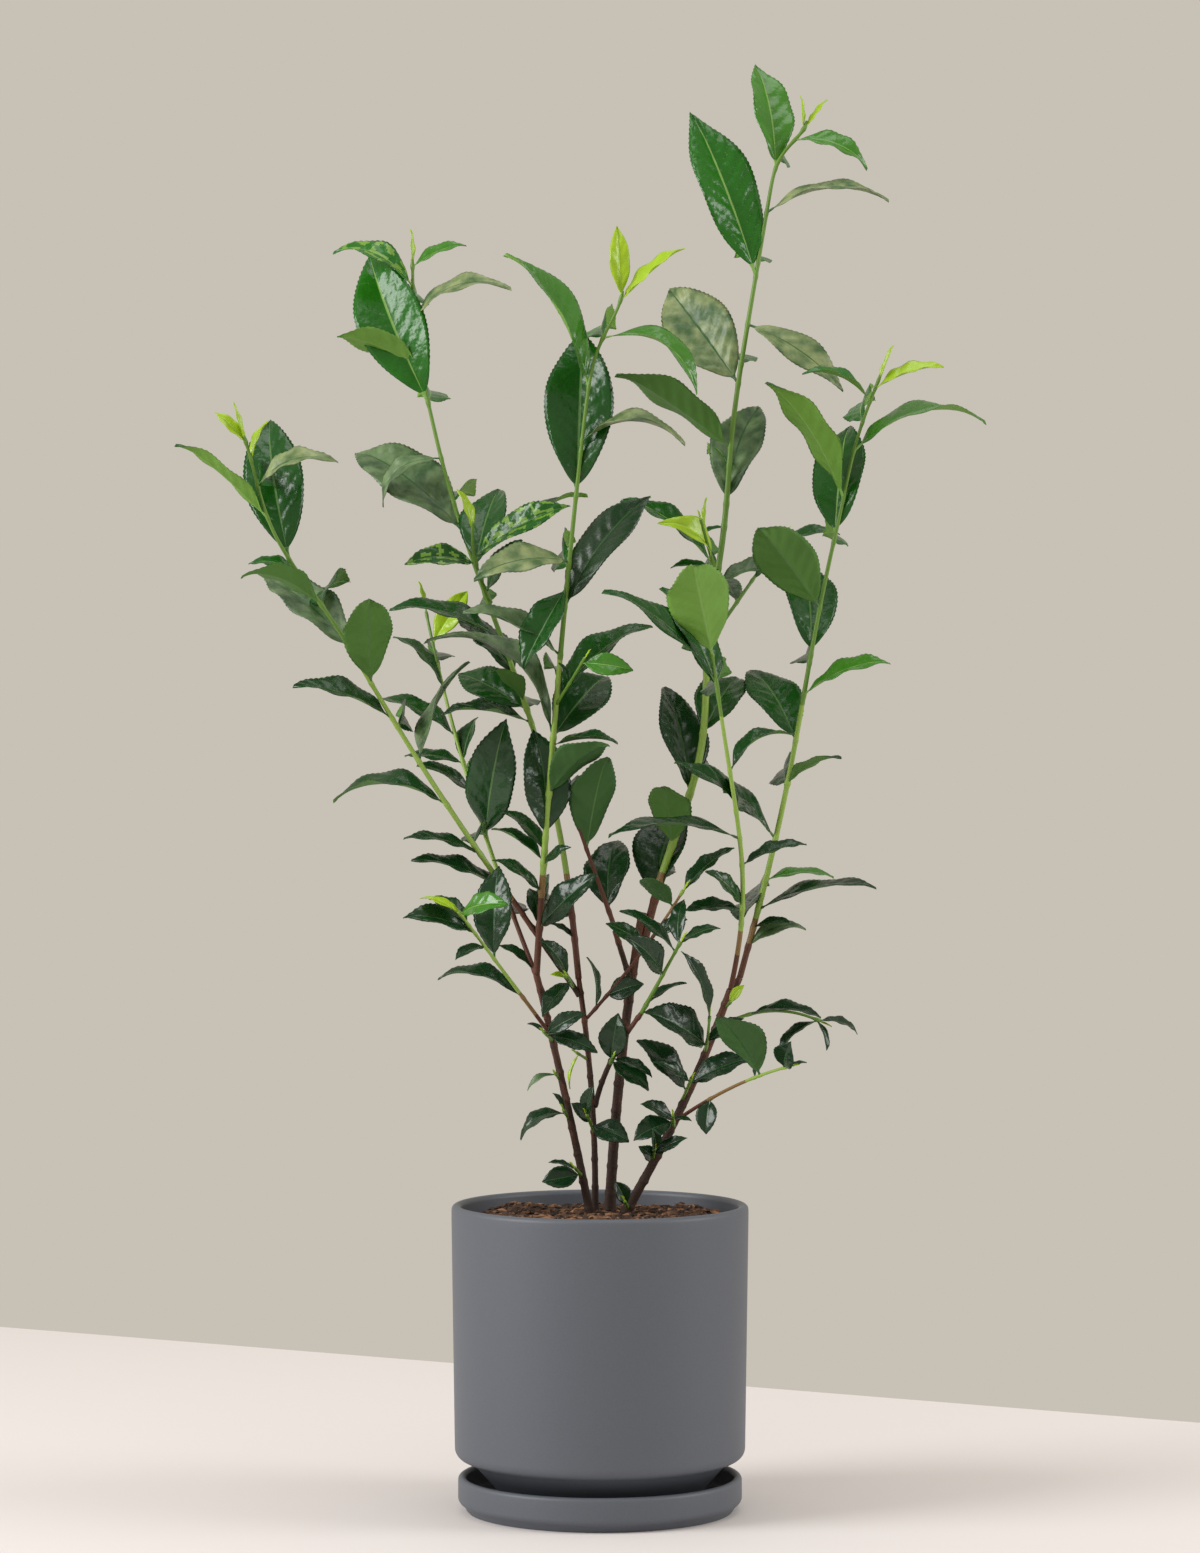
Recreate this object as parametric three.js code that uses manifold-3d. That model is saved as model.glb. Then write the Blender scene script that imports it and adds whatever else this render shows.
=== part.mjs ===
// Potted tea bush: a pot on its saucer, the soil in it, four woody canes, the boughs that leave
// them, and one solid for each leafy shoot. Millimetres, +Z up, +X right and -Y to the front.
// The origin is the centre of the saucer's flat underside.
import * as THREE from 'three';
import { mergeVertices } from 'three/addons/utils/BufferGeometryUtils.js';
import Module from 'manifold-3d';

const wasm = await Module();
wasm.setup();

// ---------------------------------------------------------------- driving dimensions
const POT_DIAMETER = 180;
const POT_TOP = 185;
const POT_BODY_BOTTOM = 31;
const POT_TAPER = 2; // the body is this much narrower in radius at its bottom
const POT_WALL = 6;
const POT_FLOOR = 8;
const POT_EDGE = 7; // radius of the rounded bottom edge
const POT_FOOT_RADIUS = 57;
const POT_FOOT_TOP_RADIUS = 79; // the foot widens upwards to the body
const SAUCER_RADIUS = 86;
const SAUCER_HEIGHT = 21;
const SAUCER_WALL = 5;
const SAUCER_FLOOR = 6;
const SAUCER_INSET = 3; // the foot ring stands in from the wall
const SOIL_TOP = 178; // at the canes
const SOIL_DROP = 4; // the soil falls this much towards the wall
const SOIL_FLAT = 34;
const CLEAR = 0.3; // between pieces that meet
const SLIVER = 0.08; // finer shapes than this are smoothed away after a join
const ROUND = 32; // facets round the pot
const LIMB_SIDES = 8;
const TWIG_SIDES = 5;
const LIMB_STEP = 20; // length of a straight stretch of a limb or stem

const LEAF_WIDTH = 0.4; // of a leaf's length
const BUD_WIDTH = 0.22;
const LEAF_THICKNESS = 0.02;
const LEAF_FOLD = 0.26; // how far the edges rise above the midrib, of the half width
const LEAF_ARCH = 0.08;
const DEEP_ARCH = 0.24;
const LONG_SHOOT = 110;
const LONG_BUD = 24;
const SHORT_BUD = 9;

const colours = {
  pot: '#5b5c60',
  soil: '#4a382c',
  wood: '#5f4636',
  leaf: '#3b6b33',
};

// ---------------------------------------------------------------- small tools
const vector = (p) => new THREE.Vector3(...p);
const radians = THREE.MathUtils.degToRad;

// A repeatable value from 0 to 1 for the k-th draw of a seed.
function draw(seed, k) {
  const v = Math.sin(seed * 12.9898 + k * 78.233) * 43758.5453;
  return v - Math.floor(v);
}

// A line from one point to another, bowed to one side and swayed like an S. Each bend is its place
// along the line, how far it spreads, and its shift to the right in millimetres.
class BowedLine extends THREE.Curve {
  constructor({ from, to, bow = [0, 0, 0], sway = [0, 0, 0], bends = [] }) {
    super();
    this.from = vector(from);
    this.to = vector(to);
    this.bow = vector(bow);
    this.sway = vector(sway);
    this.bends = bends;
  }

  getPoint(t, target = new THREE.Vector3()) {
    target
      .copy(this.from)
      .lerp(this.to, t)
      .addScaledVector(this.bow, 4 * t * (1 - t))
      .addScaledVector(this.sway, Math.sin(2 * Math.PI * t));
    for (const [place, spread, shift] of this.bends) {
      target.x += shift * Math.exp(-(((t - place) / spread) ** 2));
    }
    return target;
  }
}

// A closed skin over rings of points, with a flat cap or a pointed end.
function skin(rings, point) {
  const count = rings[0].length;
  const positions = rings.flat().flatMap((p) => p.toArray());
  const index = [];
  for (let r = 0; r < rings.length - 1; r += 1) {
    for (let i = 0; i < count; i += 1) {
      const a = r * count + i;
      const b = r * count + ((i + 1) % count);
      index.push(a, b, b + count, a, b + count, a + count);
    }
  }
  const last = (rings.length - 1) * count;
  for (let i = 1; i < count - 1; i += 1) index.push(0, i + 1, i);
  if (point) {
    positions.push(...point.toArray());
    for (let i = 0; i < count; i += 1) index.push(last + i, last + ((i + 1) % count), last + count);
  } else {
    for (let i = 1; i < count - 1; i += 1) index.push(last, last + i, last + i + 1);
  }
  const geometry = new THREE.BufferGeometry();
  geometry.setAttribute('position', new THREE.Float32BufferAttribute(positions, 3));
  geometry.setIndex(index);
  return geometry;
}

function solidOf(geometry) {
  const bare = geometry.clone();
  bare.deleteAttribute('normal');
  bare.deleteAttribute('uv');
  const merged = mergeVertices(bare, 1e-4);
  return new wasm.Manifold(new wasm.Mesh({
    numProp: 3,
    vertProperties: new Float32Array(merged.attributes.position.array),
    triVerts: new Uint32Array(merged.index.array),
  }));
}

function geometryOf(solid) {
  const mesh = solid.getMesh();
  const geometry = new THREE.BufferGeometry();
  geometry.setAttribute('position', new THREE.BufferAttribute(mesh.vertProperties, 3));
  geometry.setIndex(new THREE.BufferAttribute(mesh.triVerts, 1));
  geometry.computeVertexNormals();
  return geometry;
}

// The largest body of a solid, without the slivers that joining and cutting leave.
const largestPiece = (solid) => solid.simplify(SLIVER).decompose()
  .reduce((a, b) => (b.volume() > a.volume() ? b : a));

function touches(a, b) {
  const p = a.boundingBox();
  const q = b.boundingBox();
  const apart = [0, 1, 2].some((k) => p.min[k] > q.max[k] || q.min[k] > p.max[k]);
  return !apart && !a.intersect(b).isEmpty();
}

// ---------------------------------------------------------------- pot, saucer and soil
// A turned solid whose outline is given from the bottom of the axis, outwards and up.
function turned(outline) {
  const profile = outline.map(([r, z]) => new THREE.Vector2(r, z));
  return new THREE.LatheGeometry(profile, ROUND).rotateX(Math.PI / 2);
}

const potRadius = POT_DIAMETER / 2;
const potBottomRadius = potRadius - POT_TAPER;
const potFloorTop = POT_BODY_BOTTOM + POT_FLOOR;
const potInnerBottom = potBottomRadius - POT_WALL;

// A quarter round of three points, from one angle to another.
function corner(r, z, radius, start, end) {
  return [0, 0.5, 1].map((t) => {
    const angle = radians(start + (end - start) * t);
    return [r + radius * Math.cos(angle), z + radius * Math.sin(angle)];
  });
}

function saucer() {
  const inner = SAUCER_RADIUS - SAUCER_WALL;
  const lip = SAUCER_WALL / 2;
  return turned([
    [0, 0],
    [SAUCER_RADIUS - SAUCER_INSET, 0],
    [SAUCER_RADIUS - 1, SAUCER_INSET],
    [SAUCER_RADIUS, SAUCER_INSET + 2],
    ...corner(SAUCER_RADIUS - lip, SAUCER_HEIGHT - lip, lip, 0, 180),
    [inner, SAUCER_FLOOR + 2],
    [inner - 2, SAUCER_FLOOR],
    [0, SAUCER_FLOOR],
  ]);
}

function pot() {
  const lip = POT_WALL / 2;
  return turned([
    [0, SAUCER_FLOOR + CLEAR],
    [POT_FOOT_RADIUS, SAUCER_FLOOR + CLEAR],
    [POT_FOOT_TOP_RADIUS, POT_BODY_BOTTOM],
    ...corner(potBottomRadius - POT_EDGE, POT_BODY_BOTTOM + POT_EDGE, POT_EDGE, -90, 0),
    ...corner(potRadius - lip, POT_TOP - lip, lip, 0, 180),
    [potInnerBottom, potFloorTop],
    [0, potFloorTop],
  ]);
}

function soil() {
  const edge = SOIL_TOP - SOIL_DROP;
  const wallAt = (z) => {
    const t = (z - potFloorTop) / (POT_TOP - POT_WALL / 2 - potFloorTop);
    return potInnerBottom + POT_TAPER * t - 2 * CLEAR;
  };
  return turned([
    [0, potFloorTop + CLEAR],
    [wallAt(potFloorTop), potFloorTop + CLEAR],
    [wallAt(edge), edge],
    [(SOIL_FLAT + potRadius) / 2, edge + 1],
    [SOIL_FLAT, SOIL_TOP],
    [0, SOIL_TOP],
  ]);
}

// ---------------------------------------------------------------- limbs
// Radii at foot and tip; flare widens the foot where a cane leaves the soil.
const FOOT = SOIL_TOP + CLEAR;
const canes = [
  { name: 'cane_left', from: [-6, 5, FOOT], to: [-38.5, 0, 324], bow: [1, 0, 0],
    radii: [2.4, 2], flare: 0.7 },
  { name: 'cane_thin', from: [-3, 16, FOOT], to: [-13, 10, 321], bow: [3, 0, 0],
    radii: [1.9, 1.6], flare: 0.5 },
  { name: 'cane_middle', from: [6, 26, FOOT], to: [26, 20, 361], bow: [-3, 0, 0],
    radii: [3.2, 2.6], flare: 0.9 },
  { name: 'cane_right', from: [15, 8, FOOT], to: [79, 0, 315], bow: [4, 0, 0],
    radii: [2.8, 2.2], flare: 0.8 },
];
const boughs = [
  { name: 'bough_left', from: [-12.5, 10, 311], to: [-47, -3, 361], radii: [1.8, 1.6] },
  { name: 'bough_centre', from: [20, 20, 315], to: [9, 16, 350], radii: [1.8, 1.6] },
  { name: 'bough_right', from: [72, 2, 298], to: [85, 7, 322], radii: [2, 1.9] },
  { name: 'bough_front', from: [-3, 14, 243], to: [25, -20, 302], bow: [-4, 0, 0], radii: [1.7, 1.4] },
];

// The limb's rings, all of it or grown by a margin that also lengthens its tip.
function limbGeometry(limb, sides, margin = 0) {
  const curve = new BowedLine(limb);
  const length = curve.getLength();
  const start = limb.flare ? 0 : -margin / length;
  const end = 1 + margin / length;
  const steps = THREE.MathUtils.clamp(Math.round(length / LIMB_STEP), 4, 20);
  const rings = [];
  for (let step = 0; step <= steps; step += 1) {
    const t = start + ((end - start) * step) / steps;
    const centre = curve.getPoint(t);
    const ahead = curve.getPoint(t + 0.01).sub(curve.getPoint(t - 0.01)).normalize();
    if (limb.flare && step === 0) ahead.set(0, 0, 1);
    const side = new THREE.Vector3(0, 1, 0).cross(ahead).normalize();
    const up = ahead.clone().cross(side);
    const flare = (limb.flare ?? 0) * Math.exp((-t * length) / 9);
    const radius = THREE.MathUtils.lerp(limb.radii[0], limb.radii[1], t) + flare + margin;
    rings.push(Array.from({ length: sides }, (_, i) => {
      const angle = (2 * Math.PI * i) / sides;
      return centre.clone()
        .addScaledVector(side, radius * Math.cos(angle))
        .addScaledVector(up, radius * Math.sin(angle));
    }));
  }
  return skin(rings);
}

// ---------------------------------------------------------------- leaves
// A leaf's row: its height on its stem, the lean from upright to the right, how far it points away
// from the front (both in degrees), its length, and the share of its face that it turns to the
// front: above 0 its upper side, below 0 its underside. Two more values may set its arch and width.
const FRONT = new THREE.Vector3(0, -1, 0);

function leafFrame(lean, away, show) {
  const along = new THREE.Vector3(
    Math.sin(radians(lean)) * Math.cos(radians(away)),
    Math.sin(radians(away)),
    Math.cos(radians(lean)) * Math.cos(radians(away)),
  );
  const front = FRONT.clone().addScaledVector(along, -FRONT.dot(along)).normalize();
  const edge = front.clone().cross(along);
  if (edge.z < 0) edge.negate();
  const normal = front.multiplyScalar(show).addScaledVector(edge, Math.sqrt(1 - show * show));
  return { along, normal, side: normal.clone().cross(along) };
}

function leafGeometry(root, { lean, away, length, show, arch, width }) {
  const { along, normal, side } = leafFrame(lean, away, show);
  const midrib = (t) => root.clone()
    .addScaledVector(along, length * t)
    .addScaledVector(normal, length * arch * 4 * t * (1 - t));
  const half = (length * width) / 2;
  const thick = (length * LEAF_THICKNESS) / 2;
  const outline = [[0, thick / half], [0.1, 0.16], [0.38, 1], [0.74, 0.8]];
  const rings = outline.map(([t, share]) => {
    const centre = midrib(t);
    const edge = (sign) => centre.clone()
      .addScaledVector(side, sign * half * share)
      .addScaledVector(normal, half * share * LEAF_FOLD);
    return [
      edge(1),
      centre.clone().addScaledVector(normal, thick),
      edge(-1),
      centre.clone().addScaledVector(normal, -thick),
    ];
  });
  return skin(rings, midrib(1));
}

const leafOf = ([height, lean, away, length, show, arch = LEAF_ARCH, width = LEAF_WIDTH]) => (
  { height, lean, away, length, show, arch, width });

// Leaves on the far side of a long shoot, one for each stretch of it.
const BACK_STRETCH = 62;
function backLeaves(shoot, seed) {
  const rise = shoot.to[2] - shoot.from[2];
  const count = rise < 2 * BACK_STRETCH ? 0 : Math.floor(rise / BACK_STRETCH);
  return Array.from({ length: count }, (_, k) => ({
    height: shoot.from[2] + (rise * (k + 0.6)) / count,
    lean: -50 + 100 * draw(seed, 3 * k),
    away: 70 + 14 * draw(seed, 3 * k + 1),
    length: 50 + 18 * draw(seed, 3 * k + 2),
    show: 0.2,
    arch: LEAF_ARCH,
    width: LEAF_WIDTH,
  }));
}

// ---------------------------------------------------------------- leafy shoots
// The radii are those at the stem's foot and tip; a bare stem carries no bud at its tip.
const A = DEEP_ARCH;
const shoots = [
  {
    name: 'foliage_left_outer',
    from: [-46, -3, 360], to: [-209, -60, 646], bow: [-11, 0, 0], radii: [1.7, 0.9],
    bends: [[0.8, 0.15, -10]],
    leaves: [
      [371, -70, -15, 63, 0.3], [397, -76, -20, 50, 0.35], [427, -87, 10, 71, 0.35, 0.17],
      [453, 25, 25, 75, 0.3], [479, -71, -15, 64, 0.3], [500, 2, -45, 70, -0.95, 0.08, 0.44],
      [520, -51, 30, 82, 0.75], [547, -69, -30, 56, -0.6, 0.12], [563, -75, 10, 34, 0.5, 0.15],
      [574, -10, 25, 98, 1, 0.08, 0.38], [598, -49, -20, 72, -0.5, 0.03, 0.25],
      [616, 72, -10, 51, 0.6, 0.22], [632, 22, 10, 26, 0.5], [642, -45, 0, 26, 0.7, 0.08, 0.34],
    ],
  },
  {
    name: 'foliage_left_inner',
    from: [-34, 0, 312], to: [-109, 90, 547], bow: [-6, 0, 0], radii: [1.5, 0.9],
    leaves: [
      [326, -55, 10, 28, 0.4], [407, 10, -20, 78, 0.9, 0.08, 0.44], [433, -60, -25, 42, 0.5],
      [452, -82, 20, 40, 0.5], [453, 16, 30, 34, 0.7, 0.08, 0.5], [469, -64, 20, 60, 0.4],
      [498, -43, 15, 48, 0.3, 0.12], [527, 33, 10, 40, 0.9, 0.05, 0.42],
    ],
  },
  {
    name: 'foliage_left_tall',
    from: [-13, 10, 321], to: [-116, 60, 764], bow: [-1, 0, 0], sway: [10, 0, 0], radii: [2, 0.9],
    bends: [[0.89, 0.07, -3.5]],
    leaves: [
      [345, -57, 0, 18, 0.4], [477, -83, -10, 56, 0.25], [485, -62, 40, 64, 0.9],
      [490, -43, -50, 42, -0.7], [504, -44, 30, 62, 0.6], [528, -73, 10, 74, 0.25],
      [595, -52, 30, 102, 0.8], [640, -128, 10, 48, 0.6, 0.28], [674, -22, 15, 107, 1],
      [694, -68, -20, 58, -0.75, 0.12], [727, 73, -15, 66, 0.5, 0.17], [747, -65, 10, 56, 0.6, 0.2],
      [760, 67, 0, 36, 0.6, 0.08, 0.36],
    ],
  },
  {
    name: 'foliage_left_spur',
    from: [-67, 37, 551], to: [-76, -25, 597], bow: [-4, 0, 0], radii: [1.2, 0.8],
    leaves: [
      [556, 34, -30, 45, 0.6], [573, -90, -10, 44, 0.8, 0.15, 0.4],
      [573, 15, 40, 66, 0.9, 0.08, 0.48], [574, 55, 20, 86, 0.35, 0.06, 0.25],
      [577, 62, -15, 68, 0.65, 0.06, 0.34], [592, -20, 0, 27, 0.6],
    ],
  },
  {
    name: 'foliage_centre',
    from: [-38.5, 0, 324], to: [0, -40, 734], bow: [-3.5, 0, 0], radii: [2.1, 0.9], bare: true,
    bends: [[1, 0.07, 13.5]],
    leaves: [
      [352, 46, -25, 54, 0.75, 0.08, 0.44], [353, -14, 30, 28, 0.7, 0.08, 0.6],
      [374, -54, -20, 38, 0.5], [391, 56, -40, 26, 0.6], [393, -57, 20, 40, 0.4],
      [399, -46, 25, 40, 0.5], [407, -6, 5, 67, 0.95, 0.08, 0.46],
      [434, 50, -40, 62, -0.7, 0.08, 0.44], [463, 87, -20, 42, 0.2], [467, -51, 10, 100, 0.25, A],
      [468, 40, 40, 66, 0.95, 0.08, 0.5], [490, 50, 15, 77, 0.55], [517, -64, -10, 65, 0.4],
      [546, 37, 10, 87, 0.65], [558, -152, -15, 58, 0.85, 0.06, 0.44],
      [573, -100, -15, 60, 0.7, 0.15], [612, 2, 15, 106, 1], [645, 92, -10, 63, 0.35, 0.22],
      [677, -30, 5, 96, 0.4], [706, 121, -10, 67, 0.4, A], [728, 49, 0, 50, 0.5, 0.04, 0.3],
      [731, -3, 5, 44, 0.95, 0.03, 0.29],
    ],
  },
  {
    name: 'foliage_centre_low',
    from: [10, 17, 349], to: [-17, -2, 425], radii: [1.6, 0.9],
    leaves: [
      [362, 6, 40, 58, 0.9, 0.08, 0.52], [400, 12, -30, 68, -0.9, 0.08, 0.44], [415, 40, 40, 40, 0.5],
    ],
  },
  {
    name: 'foliage_right_tall',
    from: [26, 20, 343], to: [113.5, 75, 852], radii: [2.6, 1],
    bends: [[0.23, 0.14, 15.5], [0.48, 0.12, 6.5], [1, 0.035, 15.5]],
    leaves: [
      [360, 17, 35, 74, 0.85, 0.08, 0.5], [402, -9, -45, 54, -0.95, 0.08, 0.52],
      [433, -12, 30, 80, 0.8, 0.08, 0.44], [470, 32, 45, 60, 0.9, 0.08, 0.52], [563, 76, 10, 47, 0.5],
      [598, -110, 0, 17, 0.4], [612, 19, 35, 84, 0.9], [647, -57, -15, 87, -0.45, 0.04],
      [687, -34, 30, 89, 1, 0.06, 0.48], [724, 125, -5, 73, 0.8, 0.1, 0.36],
      [754, -20.5, 10, 115, 0.9, 0.05, 0.37], [794, 85, -10, 77, 0.35, 0.15],
      [822, -9, 25, 79, 0.9, 0.06, 0.36], [840, 110, 0, 49, 0.6, 0.14],
      [848, -3, 0, 21, 0.4, 0, 0.22],
    ],
  },
  {
    name: 'foliage_right_spur_front',
    from: [72, 43.5, 566], to: [61, 2, 600], radii: [1.2, 0.8],
    leaves: [
      [570, -84, -10, 28, 0.4], [574, -53, 5, 70, 0.35], [576, -55, -30, 46, 0.6, 0.2],
      [594, 4, 0, 20, 0.4, 0, 0.22],
    ],
  },
  {
    name: 'foliage_right_spur_back',
    from: [66.5, 40, 526], to: [117, 110, 597], radii: [1.3, 0.8],
    leaves: [
      [552, -40, 60, 50, 0.5], [566, 60, 20, 46, 0.5], [580, 20, 70, 52, 0.5],
      [590, 80, -10, 40, 0.5],
    ],
  },
  {
    name: 'foliage_right_inner',
    from: [79, 0, 315], to: [66, -60, 518], bow: [10, 0, 0], sway: [2.5, 0, 0], radii: [1.6, 1],
    leaves: [
      [364, -90, -10, 36, 0.5], [366, -44, -30, 36, 0.6], [391, 72, 10, 42, 0.3],
      [407, -88, -15, 82, 0.25, 0.1], [447, 60, 20, 48, 0.3, 0.2],
      [495, -27, 15, 74, 0.65, 0.08, 0.42], [500, -50, -10, 88, 0.4],
      [516, -14, -50, 83, -1, 0.06, 0.46],
    ],
  },
  {
    name: 'foliage_right_outer',
    from: [85, 7, 322], to: [173, 30, 690], bow: [-2.5, 0, 0], sway: [3.5, 0, 0], radii: [1.9, 0.9],
    bends: [[0.9, 0.1, -3]],
    leaves: [
      [340, 72, 10, 38, 0.6, 0.2], [352, 78, -30, 26, 0.4], [363, 77, -10, 74, 0.2],
      [381, 87, 15, 44, 0.2], [406, -52, -5, 78, 0.4], [440, 62, -40, 46, -0.4],
      [466, -30, 45, 74, 0.85, 0.08, 0.46], [494, 68, -15, 57, 0.3],
      [518, -4, 40, 80, 0.95, 0.08, 0.42], [547, -40, -40, 80, -0.9, 0.08, 0.46],
      [590, 8, 30, 86, 0.9, 0.08, 0.42], [614, -34, -15, 88, -0.4], [643, 75, 10, 86, 0.35, 0.17],
      [674, -68, -10, 46, 0.3, 0.15], [682, 72, 0, 44, 0.35],
    ],
  },
  {
    name: 'sprig_left',
    from: [-31, 1.5, 289], to: [-84, -60, 365], radii: [1.3, 0.8],
    leaves: [
      [311, -76, 10, 54, 0.35, 0.15], [335, 2, 15, 58, 0.9, 0.08, 0.44], [343, -110, -50, 28, 0.6],
      [351, -75, -20, 46, 0.6, 0.08, 0.45], [356, -57, 35, 36, 0.6],
      [363, 76, -40, 38, 0.7, 0.1, 0.46], [362, -65, 0, 27, 0.4],
    ],
  },
  {
    name: 'sprig_right_front',
    from: [46, 4, 235], to: [112, -75, 274], bow: [0, 0, 4], radii: [1.2, 0.8],
    leaves: [
      [247, -172, -20, 22, 0.95, 0.06, 0.62], [262, 22, 0, 18, 0.5],
      [264, -35, -35, 56, -0.8, 0.06, 0.52], [272, 10, -50, 26, 0.8, 0.06, 0.6],
      [273, 75, -10, 12, 0.4],
    ],
  },
  {
    name: 'sprig_right_back',
    from: [72, 3, 292], to: [134, 14, 295], bow: [0, 0, 8], radii: [1.1, 0.8],
    leaves: [
      [292.9, 92, -5, 44, 0.25, 0.1], [294.9, 160, -15, 20, 0.4], [294.95, -128, -10, 32, 0.35, 0.1],
      [294.97, 108, 10, 26, 0.3, 0.15],
    ],
  },
  {
    name: 'sprig_front',
    from: [25, -20, 302], to: [48, -50, 346], radii: [1.4, 0.8],
    leaves: [
      [307, 60, 0, 28, 0.4], [326, -42, -45, 46, 0.8], [340, -52, 10, 42, 0.3], [344, 6, 30, 32, 0.8],
      [345, 68, 0, 26, 0.5],
    ],
  },
  {
    name: 'sprig_centre',
    from: [-8, 11, 297], to: [50, -25, 376], bow: [3, 0, 0], radii: [1.1, 0.8],
    leaves: [
      [303, -8, 0, 32, 0.3], [311, 70, -20, 25, 0.9, 0.08, 0.6], [342, -60, -20, 30, 0.8],
      [348, 60, -30, 26, 0.8], [366, -48, -45, 38, -0.8], [374, 49, 15, 44, 0.5],
    ],
  },
  {
    name: 'sprig_centre_high',
    from: [-26, -17, 488], to: [-9, -48, 515], radii: [1, 0.7],
    leaves: [[500, -25, -10, 14, 0.6], [512, 98, -15, 32, 0.95, 0.08, 0.45]],
  },
  {
    name: 'sprig_cane_right_low',
    from: [32, 6, 212], to: [33, -14, 220], radii: [1, 0.7],
    leaves: [[213, -45, -60, 24, 0.9], [216, 62, -20, 24, 0.8], [219, -5, -50, 22, 0.8]],
  },
  {
    name: 'sprig_cane_right_fork',
    from: [45, 5, 231], to: [44, -12, 240], radii: [1, 0.7],
    leaves: [
      [235, -112, -20, 28, 0.85, 0.08, 0.6], [236, -60, -20, 24, 0.7, 0.08, 0.5],
      [238, 97, -20, 12, 0.6],
    ],
  },
  {
    name: 'sprig_cane_right_middle',
    from: [50, 4, 248], to: [55, -18, 262], radii: [1, 0.7],
    leaves: [
      [254, -43, -10, 44, 0.6, 0.1, 0.5], [258, 66, -10, 42, 0.6, 0.08, 0.5],
      [260, -57, -30, 30, 0.6],
    ],
  },
  {
    name: 'sprig_cane_right_high',
    from: [64, 2.5, 277], to: [66, -18, 300], bow: [0, -8, 0], radii: [1, 0.7],
    leaves: [
      [281, -58, -35, 54, 0.75, 0.1, 0.5], [284, 55, -20, 28, 0.7],
      [298, -21, -20, 48, 0.45, 0.08, 0.3],
    ],
  },
  {
    name: 'sprig_cane_right_top',
    from: [76, 1, 304], to: [79, -8, 308], radii: [1, 0.7],
    leaves: [[307, 38, -15, 15, 0.8, 0.1, 0.45]],
  },
  {
    name: 'sprig_cane_left_low',
    from: [-10.5, 5, 201], to: [-15.5, -8, 208], radii: [1, 0.7],
    leaves: [[203, -100, -10, 24, 0.9, 0.05, 0.62], [206, -72, -20, 19, 0.3]],
  },
  {
    name: 'sprig_cane_left_middle',
    from: [-19, 4, 236], to: [-22, -9, 243], radii: [1, 0.7],
    leaves: [[240, -118, -10, 32, 0.6, 0.25, 0.45], [242, -30, -20, 14, 0.6]],
  },
  {
    name: 'sprig_cane_left_upper',
    from: [-25, 2, 261], to: [-27, -10, 265], radii: [1, 0.7],
    leaves: [[264, -118, -5, 20, 0.5, 0.2, 0.3]],
  },
  {
    name: 'sprig_cane_left_high',
    from: [-29, 1, 284], to: [-34, -20, 291], radii: [1, 0.7],
    leaves: [[289, 60, -20, 29, 0.9], [288, 107, -20, 34, 0.75], [290, -60, -10, 12, 0.6]],
  },
  {
    name: 'sprig_bough_left',
    from: [-16, 8, 316], to: [-20, -10, 324], radii: [1, 0.7],
    leaves: [
      [320, -140, -35, 32, 0.7, 0.08, 0.45], [323, -35, -20, 30, 0.7, 0.08, 0.5],
      [322, -75, -20, 12, 0.6],
    ],
  },
  {
    name: 'sprig_bough_front',
    from: [6, -2, 270], to: [8, -16, 276], radii: [1, 0.7],
    leaves: [
      [272, 8, -10, 30, 0.95, 0.08, 0.6], [274, 112, -20, 28, 0.5],
      [272, 125, -20, 30, 0.85, 0.08, 0.5],
    ],
  },
  {
    name: 'sprig_cane_thin',
    from: [-3, 15, 226], to: [-8, -8, 240], radii: [1, 0.7],
    leaves: [
      [232, 110, -30, 28, 0.8, 0.1, 0.6], [234, -42, -20, 18, 0.7, 0.08, 0.6],
      [239, 10, -30, 22, 0.7, 0.08, 0.5],
    ],
  },
  {
    name: 'sprig_cane_thin_high',
    from: [-8, 12, 272], to: [-14, -4, 277], radii: [1, 0.7],
    leaves: [[276, -165, -5, 22, 0.4, 0.1, 0.2]],
  },
  {
    name: 'sprig_foot',
    from: [17, 5.5, 182], to: [15, -4, 187], radii: [1, 0.7],
    leaves: [[184, -25, -15, 17, 0.8, 0.05, 0.65]],
  },
];

// A stem cut clear of every limb that stands already, in one piece.
function stemSolid(shoot, standing) {
  const whole = solidOf(limbGeometry(shoot, TWIG_SIDES));
  return largestPiece(standing.reduce(
    (stem, limb) => (touches(stem, limb.grown) ? stem.subtract(limb.grown) : stem), whole));
}

// The rolled leaf at the tip, longer on a long shoot.
function budOf(shoot, curve) {
  const ahead = curve.getPoint(1).sub(curve.getPoint(0.96)).normalize();
  return {
    height: shoot.to[2],
    lean: THREE.MathUtils.radToDeg(Math.atan2(ahead.x, ahead.z)),
    away: THREE.MathUtils.radToDeg(Math.asin(ahead.y)),
    length: shoot.to[2] - shoot.from[2] < LONG_SHOOT ? SHORT_BUD : LONG_BUD,
    show: 0.5,
    arch: 0,
    width: BUD_WIDTH,
  };
}

function ownLeaves(shoot) {
  const leaves = shoot.leaves.map(leafOf);
  return shoot.bare ? leaves : [...leaves, budOf(shoot, new BowedLine(shoot))];
}

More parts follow.
